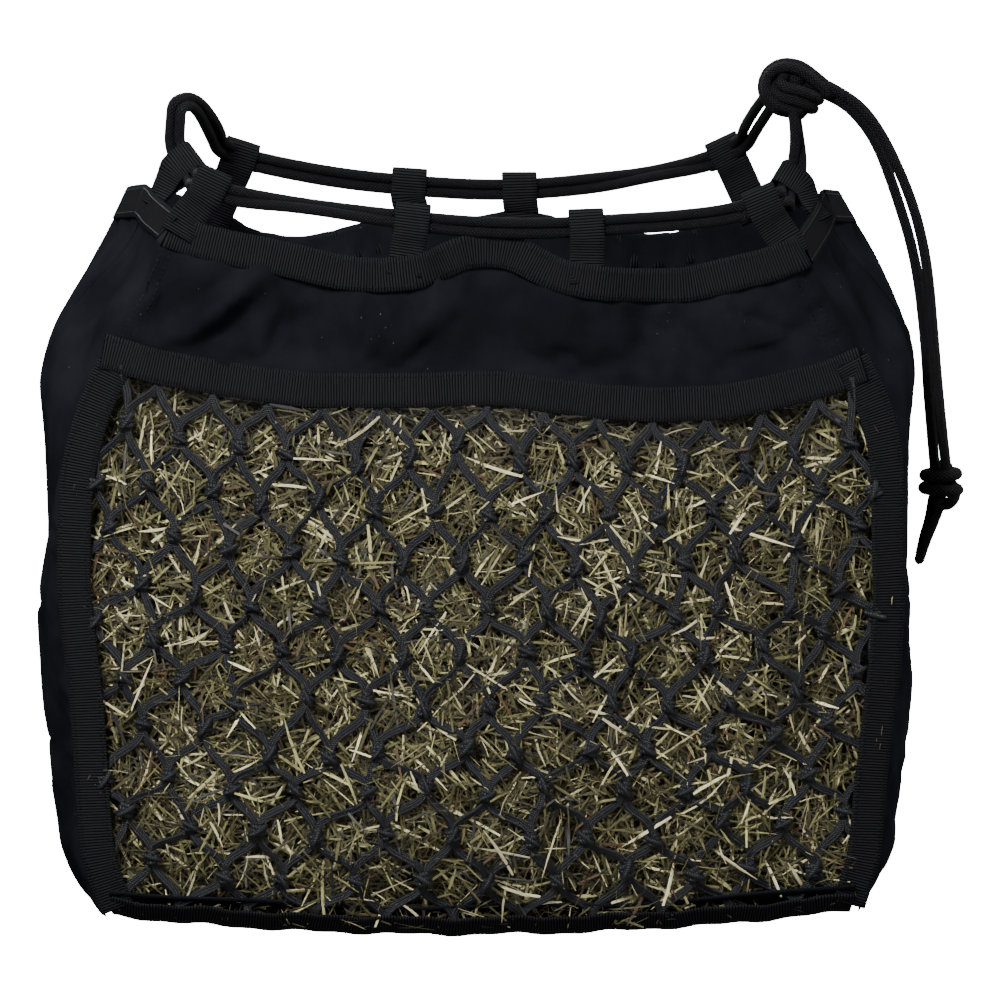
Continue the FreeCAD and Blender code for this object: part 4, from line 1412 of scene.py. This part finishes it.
def add_leg(parts, line):
    """Three cords side by side that turn a little over and under each other."""
    along = frames(line, (0.0, -1.0, 0.0))[0]
    flank = unit(np.cross(along, np.array([0.0, -1.0, 0.0])))
    out = np.cross(flank, along)
    out *= np.where(out[:, 1:2] < 0, 1, -1)
    phase = random.uniform(-0.5, 0.5)
    half_turn = np.linspace(0, math.pi, len(line))
    pinch = 0.55 + 0.45 * np.sin(half_turn) ** 0.6
    for number, shift in enumerate((-CORD_SPACING, 0.0, CORD_SPACING)):
        swing = 0.9 * np.sin(half_turn + random.uniform(-0.3, 0.3))
        angle = phase + swing * random.uniform(-0.5, 0.5)
        offset = flank * np.cos(angle)[:, None] + out * np.sin(angle)[:, None]
        parts.add(*thin_tube(line + offset * (shift * pinch)[:, None], CORD_RADIUS + 0.00010 * number, 7))


def add_net():
    """Knotted twine, its legs and its knots. Returns points all along the legs."""
    knots = net_knots()
    legs = Parts()
    balls = Parts()
    samples = []
    for (row, column), (x, z, beyond) in knots.items():
        if row == NET_ROWS:
            continue
        for step in ((0, -1) if row % 2 == 0 else (0, 1)):
            other = knots.get((row + 1, column + step))
            if other is None or (beyond and other[2]):
                continue
            line = leg_line((x, z), other[:2])
            samples.append(line)
            add_leg(legs, line)
    for (row, column), (x, z, beyond) in knots.items():
        if row in (0, NET_ROWS) or beyond:
            continue
        add_twine_knot(balls, on_hay(x, z, KNOT_LIFT))
    for name, parts in (("net_legs_twine", legs), ("net_knots_twine", balls)):
        piece = parts.build(name, [materials["twine"]])
        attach(piece, "bag")
        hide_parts("net_mesh")
    return np.concatenate(samples)


def thin_tube(points, radius, around):
    """A tube without caps, for twine whose ends are inside knots."""
    along, side, over = frames(points, (0.0, -1.0, 0.2))
    turn = np.linspace(0, 2 * math.pi, around + 1)
    ring = side[:, None] * np.cos(turn)[None, :, None] + over[:, None] * np.sin(turn)[None, :, None]
    run = lengths(points)
    flat = np.stack(np.broadcast_arrays(turn[None, :] * radius, run[:, None]), axis=-1)
    return points[:, None] + ring * radius, grid_faces(len(points), around + 1), flat


def add_twine_knot(parts, centre):
    """Turns of twine round the crossing, and one turn drawn across them."""
    lean = random.uniform(-0.5, 0.5)
    size = random.uniform(0.92, 1.12)
    axis = np.array([math.sin(lean), 0.0, math.cos(lean)])
    side = np.array([math.cos(lean), 0.0, -math.sin(lean)])
    out = np.array([0.0, -1.0, 0.0])
    turn = np.linspace(0, 2 * math.pi * 2.6, 34) + random.uniform(0, 6)
    climb = np.linspace(-0.0038, 0.0038, len(turn)) * size
    ring = side * np.cos(turn)[:, None] * 0.0042 + out * np.sin(turn)[:, None] * 0.0030
    parts.add(*thin_tube(centre + axis * climb[:, None] + ring * size, 0.0019 * size, 7))
    t = np.linspace(0, math.pi, 14)
    half_span = 0.0046
    cross = centre + out * (0.0012 + 0.0040 * np.sin(t))[:, None] * size
    slant = np.cos(t) * random.choice([-half_span, half_span])
    cross = cross + (side * np.cos(t)[:, None] * half_span + axis * slant[:, None]) * size
    parts.add(*thin_tube(cross, 0.0018 * size, 7))


# ---------------------------------------------------------------- hay

HAY_Z = (-0.590, -0.178)
HAY_DEPTH = 0.014  # from the surface of the loose pieces to the deepest ones
HAY_FOOT_Z = -0.579
HAY_FOOT_SAG = 0.015
TAPE_SHADOW = ([0.012, 0.050], [0.30, 1.0])  # how the tape over the net darkens the hay: distances, shades
HEAP_COUNT = 4200
HEAP_HALF_WIDTH = 0.262
HEAP_HALF_DEPTH = 0.060
HEAP_Z = -0.208
CORE_Z = (-0.212, -0.589)

# Tints of the hay and how often each occurs.
HAY_TINTS = [
    ((0.082, 0.076, 0.026), 0.28), ((0.045, 0.041, 0.014), 0.27), ((0.170, 0.158, 0.062), 0.13),
    ((0.430, 0.395, 0.200), 0.10), ((0.022, 0.018, 0.008), 0.14), ((0.060, 0.033, 0.012), 0.08),
    ((0.008, 0.007, 0.006), 0.06),
]
STRAW_TINTS = [((0.620, 0.560, 0.330), 0.55), ((0.430, 0.400, 0.180), 0.30), ((0.050, 0.048, 0.045), 0.15)]


def pick_tints(choices, count, depth):
    """A tint for each piece of grass, with painted shade that darkens it with its depth."""
    colours = np.array([colour for colour, weight in choices])
    weights = np.array([weight for colour, weight in choices])
    picked = colours[random.choice(len(choices), count, p=weights / weights.sum())]
    picked = picked * random.uniform(0.75, 1.2, (count, 1))
    # Painted shade: deeper pieces, lying among other pieces, are darkened by up to 45%.
    return picked * (1 - 0.45 * np.clip(depth, 0, 1))[:, None]


def inside(blades):
    """True for the pieces of grass that stay within the bag's outline."""
    x = blades[..., 0]
    z = blades[..., 2]
    in_width = np.abs(x - BAG_X) < level(z, 1) - HAY_INSET
    foot = HAY_FOOT_Z - HAY_FOOT_SAG * (1 - np.clip(np.abs(x - BAG_X) / BOTTOM_HALF_WIDTH, 0, 1) ** 2)
    in_height = (z < net_top(x) - 0.0115) & (z > foot)
    return np.all(in_width & in_height, axis=1)


# A piece of grass, from its root end to its tip: places along its length, and the width at each.
BLADE_STATIONS = np.array([-0.5, -0.2, 0.15, 0.5])
BLADE_WIDTHS = np.array([0.75, 1.0, 0.95, 0.25])
BLADE_POINTS = 3 * len(BLADE_STATIONS)


def add_blades(name, roots, normals, tints, length, width, tilt, stray=0.0):
    """Flat pieces of grass on a surface, each bent, folded along its middle and tapering at one end."""
    count = len(roots)
    normals = unit(normals)
    any_way = unit(random.normal(size=(count, 3)))
    along = unit(any_way - normals * np.sum(any_way * normals, axis=1, keepdims=True))
    along = unit(along + normals * np.tan(random.normal(0, tilt, count))[:, None])
    face = unit(normals - along * np.sum(normals * along, axis=1, keepdims=True))
    roll = random.normal(0, 0.5, count)[:, None]
    side = np.cross(along, face)
    face, side = face * np.cos(roll) + side * np.sin(roll), side * np.cos(roll) - face * np.sin(roll)
    bend = random.normal(0, 0.10, count)[:, None]
    curl = random.normal(0, 0.12, count)[:, None]
    spots = []
    for share, wide in zip(BLADE_STATIONS, BLADE_WIDTHS):
        arch = 0.25 - share ** 2
        middle = roots + along * (share * length)[:, None]
        middle = middle + face * (bend * arch) * length[:, None] + side * (curl * arch) * length[:, None]
        edge = side * (width * wide / 2)[:, None]
        spots += [middle - edge, middle + face * (width * wide * 0.18)[:, None], middle + edge]
    points = np.stack(spots, axis=1).reshape(-1, 3)
    across = np.tile(np.array([-0.5, 0.0, 0.5]), len(BLADE_STATIONS))[None] * width[:, None]
    lengthways = np.repeat(BLADE_STATIONS, 3)[None] * length[:, None]
    offset = random.uniform(0, 0.2, (count, 1))
    flat = np.stack([across + offset, lengthways + offset], axis=2).reshape(-1, 2)
    kept = inside(points.reshape(count, BLADE_POINTS, 3)) | (random.random(count) < stray)
    chosen = np.repeat(kept, BLADE_POINTS)
    count = int(kept.sum())
    first_points = (np.arange(count) * BLADE_POINTS)[:, None, None]
    faces = (grid_faces(len(BLADE_STATIONS), 3)[None] + first_points).reshape(-1, 4)
    piece = new_piece(name, points[chosen], faces, flat[chosen], [materials["hay"]])
    attribute = piece.data.color_attributes.new(name="tint", type="FLOAT_COLOR", domain="POINT")
    colours = np.repeat(tints[kept], BLADE_POINTS, axis=0)
    colours = np.concatenate([colours, np.ones((count * BLADE_POINTS, 1))], axis=1)
    attribute.data.foreach_set("color", colours.astype(np.float32).ravel())
    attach(piece, "bag")
    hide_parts("hay_fill")


def front_places(count):
    """Random places over the front of the hay, with the direction out of it."""
    z = random.uniform(*HAY_Z, count)
    half = level(z, 1) - HAY_INSET
    x = BAG_X + random.uniform(-1, 1, count) * half
    y = hay_front(x, z) + lumps(x, z)
    step = 0.004
    slope_x = (hay_front(x + step, z) + lumps(x + step, z) - y) / step
    slope_z = (hay_front(x, z + step) + lumps(x, z + step) - y) / step
    normals = unit(np.stack([slope_x, -np.ones(count), slope_z], axis=1))
    return np.stack([x, y, z], axis=1), normals


# Layers of loose grass behind the net: name, count, lengths, widths, tilt, tints, depths (0 at the surface,
# 1 at the core), and the share of pieces that may stick out past the tapes.
HAY_LAYERS = [
    ("hay_pieces_deep", 7000, (0.016, 0.045), (0.0012, 0.0030), 0.30, HAY_TINTS, (0.35, 1.0), 0.0),
    ("hay_pieces_middle", 9500, (0.010, 0.036), (0.0008, 0.0026), 0.24, HAY_TINTS, (0.0, 0.5), 0.0),
    ("hay_pieces_top", 3800, (0.012, 0.038), (0.0008, 0.0024), 0.26, HAY_TINTS, (-0.25, 0.1), 0.0),
    ("hay_fibres", 4500, (0.012, 0.034), (0.0004, 0.0009), 0.45, HAY_TINTS, (-0.3, 0.4), 0.004),
    ("hay_straws", 800, (0.018, 0.048), (0.0014, 0.0026), 0.24, STRAW_TINTS, (-0.28, 0.3), 0.0),
]


def add_hay(samples):
    """Loose pieces of grass that swell through the net's meshes, away from the points all along its legs."""
    tree = KDTree(len(samples))
    for number, point in enumerate(samples):
        tree.insert(point, number)
    tree.balance()
    for name, count, length, width, tilt, tints, deep, stray in HAY_LAYERS:
        places, normals = front_places(count)
        depth = random.uniform(*deep, count)
        gap = np.array([tree.find(point)[2] for point in places])
        swell = np.minimum(gap, 0.016) * 0.33 - 0.0018
        places = places + normals * (swell - HAY_DEPTH * depth)[:, None]
        shadow = np.interp(net_top(places[:, 0]) - places[:, 2], *TAPE_SHADOW)[:, None]
        add_blades(
            name, places, normals, pick_tints(tints, count, depth) * shadow, random.uniform(*length, count),
            random.uniform(*width, count), tilt, stray,
        )


def add_heap():
    """Loose pieces of grass on top of the hay, seen through the mouth."""
    count = HEAP_COUNT
    x = BAG_X + random.uniform(-1, 1, count) * HEAP_HALF_WIDTH
    y = random.uniform(-1, 1, count) * HEAP_HALF_DEPTH
    z = heap_height(x, y)
    depth = random.uniform(-0.2, 0.8, count)
    places = np.stack([x, y, z - 0.012 * depth], axis=1)
    slopes = [random.normal(0, 0.2, count), random.normal(0, 0.2, count)]
    normals = unit(np.stack([*slopes, np.ones(count)], axis=1))
    add_blades(
        "hay_pieces_heap", places, normals, pick_tints(HAY_TINTS, count, depth),
        random.uniform(0.015, 0.05, count), random.uniform(0.001, 0.003, count), 0.3, 1.0,
    )


def heap_height(x, y):
    """Height of the top of the hay."""
    return HEAP_Z + 0.010 * np.sin(19 * x + 1.0) * np.cos(24 * y + 0.4) + 0.006 * np.sin(47 * x + 31 * y)


def add_hay_core():
    """A lumpy closed body just inside the loose pieces, dark with painted shade."""
    rows, columns = 60, 120
    z = np.linspace(*CORE_Z, rows)
    turn = np.linspace(0, 2 * math.pi, columns + 1)
    square = np.maximum(np.abs(np.cos(turn)), np.abs(np.sin(turn))) ** 0.86
    u = np.clip(np.cos(turn) / square, -1, 1)
    v = np.clip(np.sin(turn) / square, -1, 1)
    grid = []
    flat = []
    for height in z:
        half, side, full = (float(level(height, column)) for column in (1, 2, 3))
        x = BAG_X + u * (half - 0.008 + (side - 0.004) * (1 - v ** 2))
        front = np.where(v < 0, FRONT_SWELL, BACK_SWELL) * full * (1 - u ** 2)
        y = v * (HALF_DEPTH - 0.010 + front - HAY_INSET)
        ripple = 0.004 * np.sin(60 * x + 50 * height) * np.cos(55 * height - 45 * y)
        low = np.clip((-0.50 - height) / 0.09, 0, 1)
        rise = 0.013 * low * np.clip((x - BAG_X) / BOTTOM_HALF_WIDTH, -1, 1) ** 2
        grid.append(np.stack([x + ripple * u, y + ripple * v, height + rise], axis=1))
        flat.append(np.stack([turn * 0.2, np.full_like(x, height)], axis=1))
    grid = np.array(grid)
    flat = np.array(flat)
    parts = Parts()
    parts.add(grid, grid_faces(rows, columns + 1), flat)
    for row, lift in ((0, 1), (-1, -1)):
        middle = np.array([BAG_X, 0.0, z[row]])
        shares = np.array([1.0, 0.75, 0.5, 0.25, 0.01])[:, None, None]
        cap = middle + (grid[row][None] - middle) * shares
        if lift > 0:
            cap[1:, :, 2] = heap_height(cap[1:, :, 0], cap[1:, :, 1]) - 0.008
        parts.add(cap, grid_faces(5, columns + 1), np.broadcast_to(flat[row], cap.shape[:2] + (2,)))
    piece = parts.build("hay_core", [materials["hay_core"]])
    replace_winding(piece)
    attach(piece, "bag")
    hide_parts("hay_fill")


# ---------------------------------------------------------------- whole object

add_camera()
materials = {
    "fabric": fabric_material(),
    "webbing": webbing_material(),
    "rope": braid_material(),
    "twine": twine_material(),
    "thread": thread_material(),
    "hay": hay_material(),
    "hay_core": hay_core_material(),
}
add_tail()
add_rim_ropes()
add_top_knot()
front, back = add_fabric()
feet = add_loops(front, back)
add_rim_tapes(front, back, feet)
add_net_tape_top()
add_net_tapes_sides()
add_net_tape_bottom()
add_bottom()
samples = add_net()
add_hay_core()
add_hay(samples)
add_heap()
add_studio()
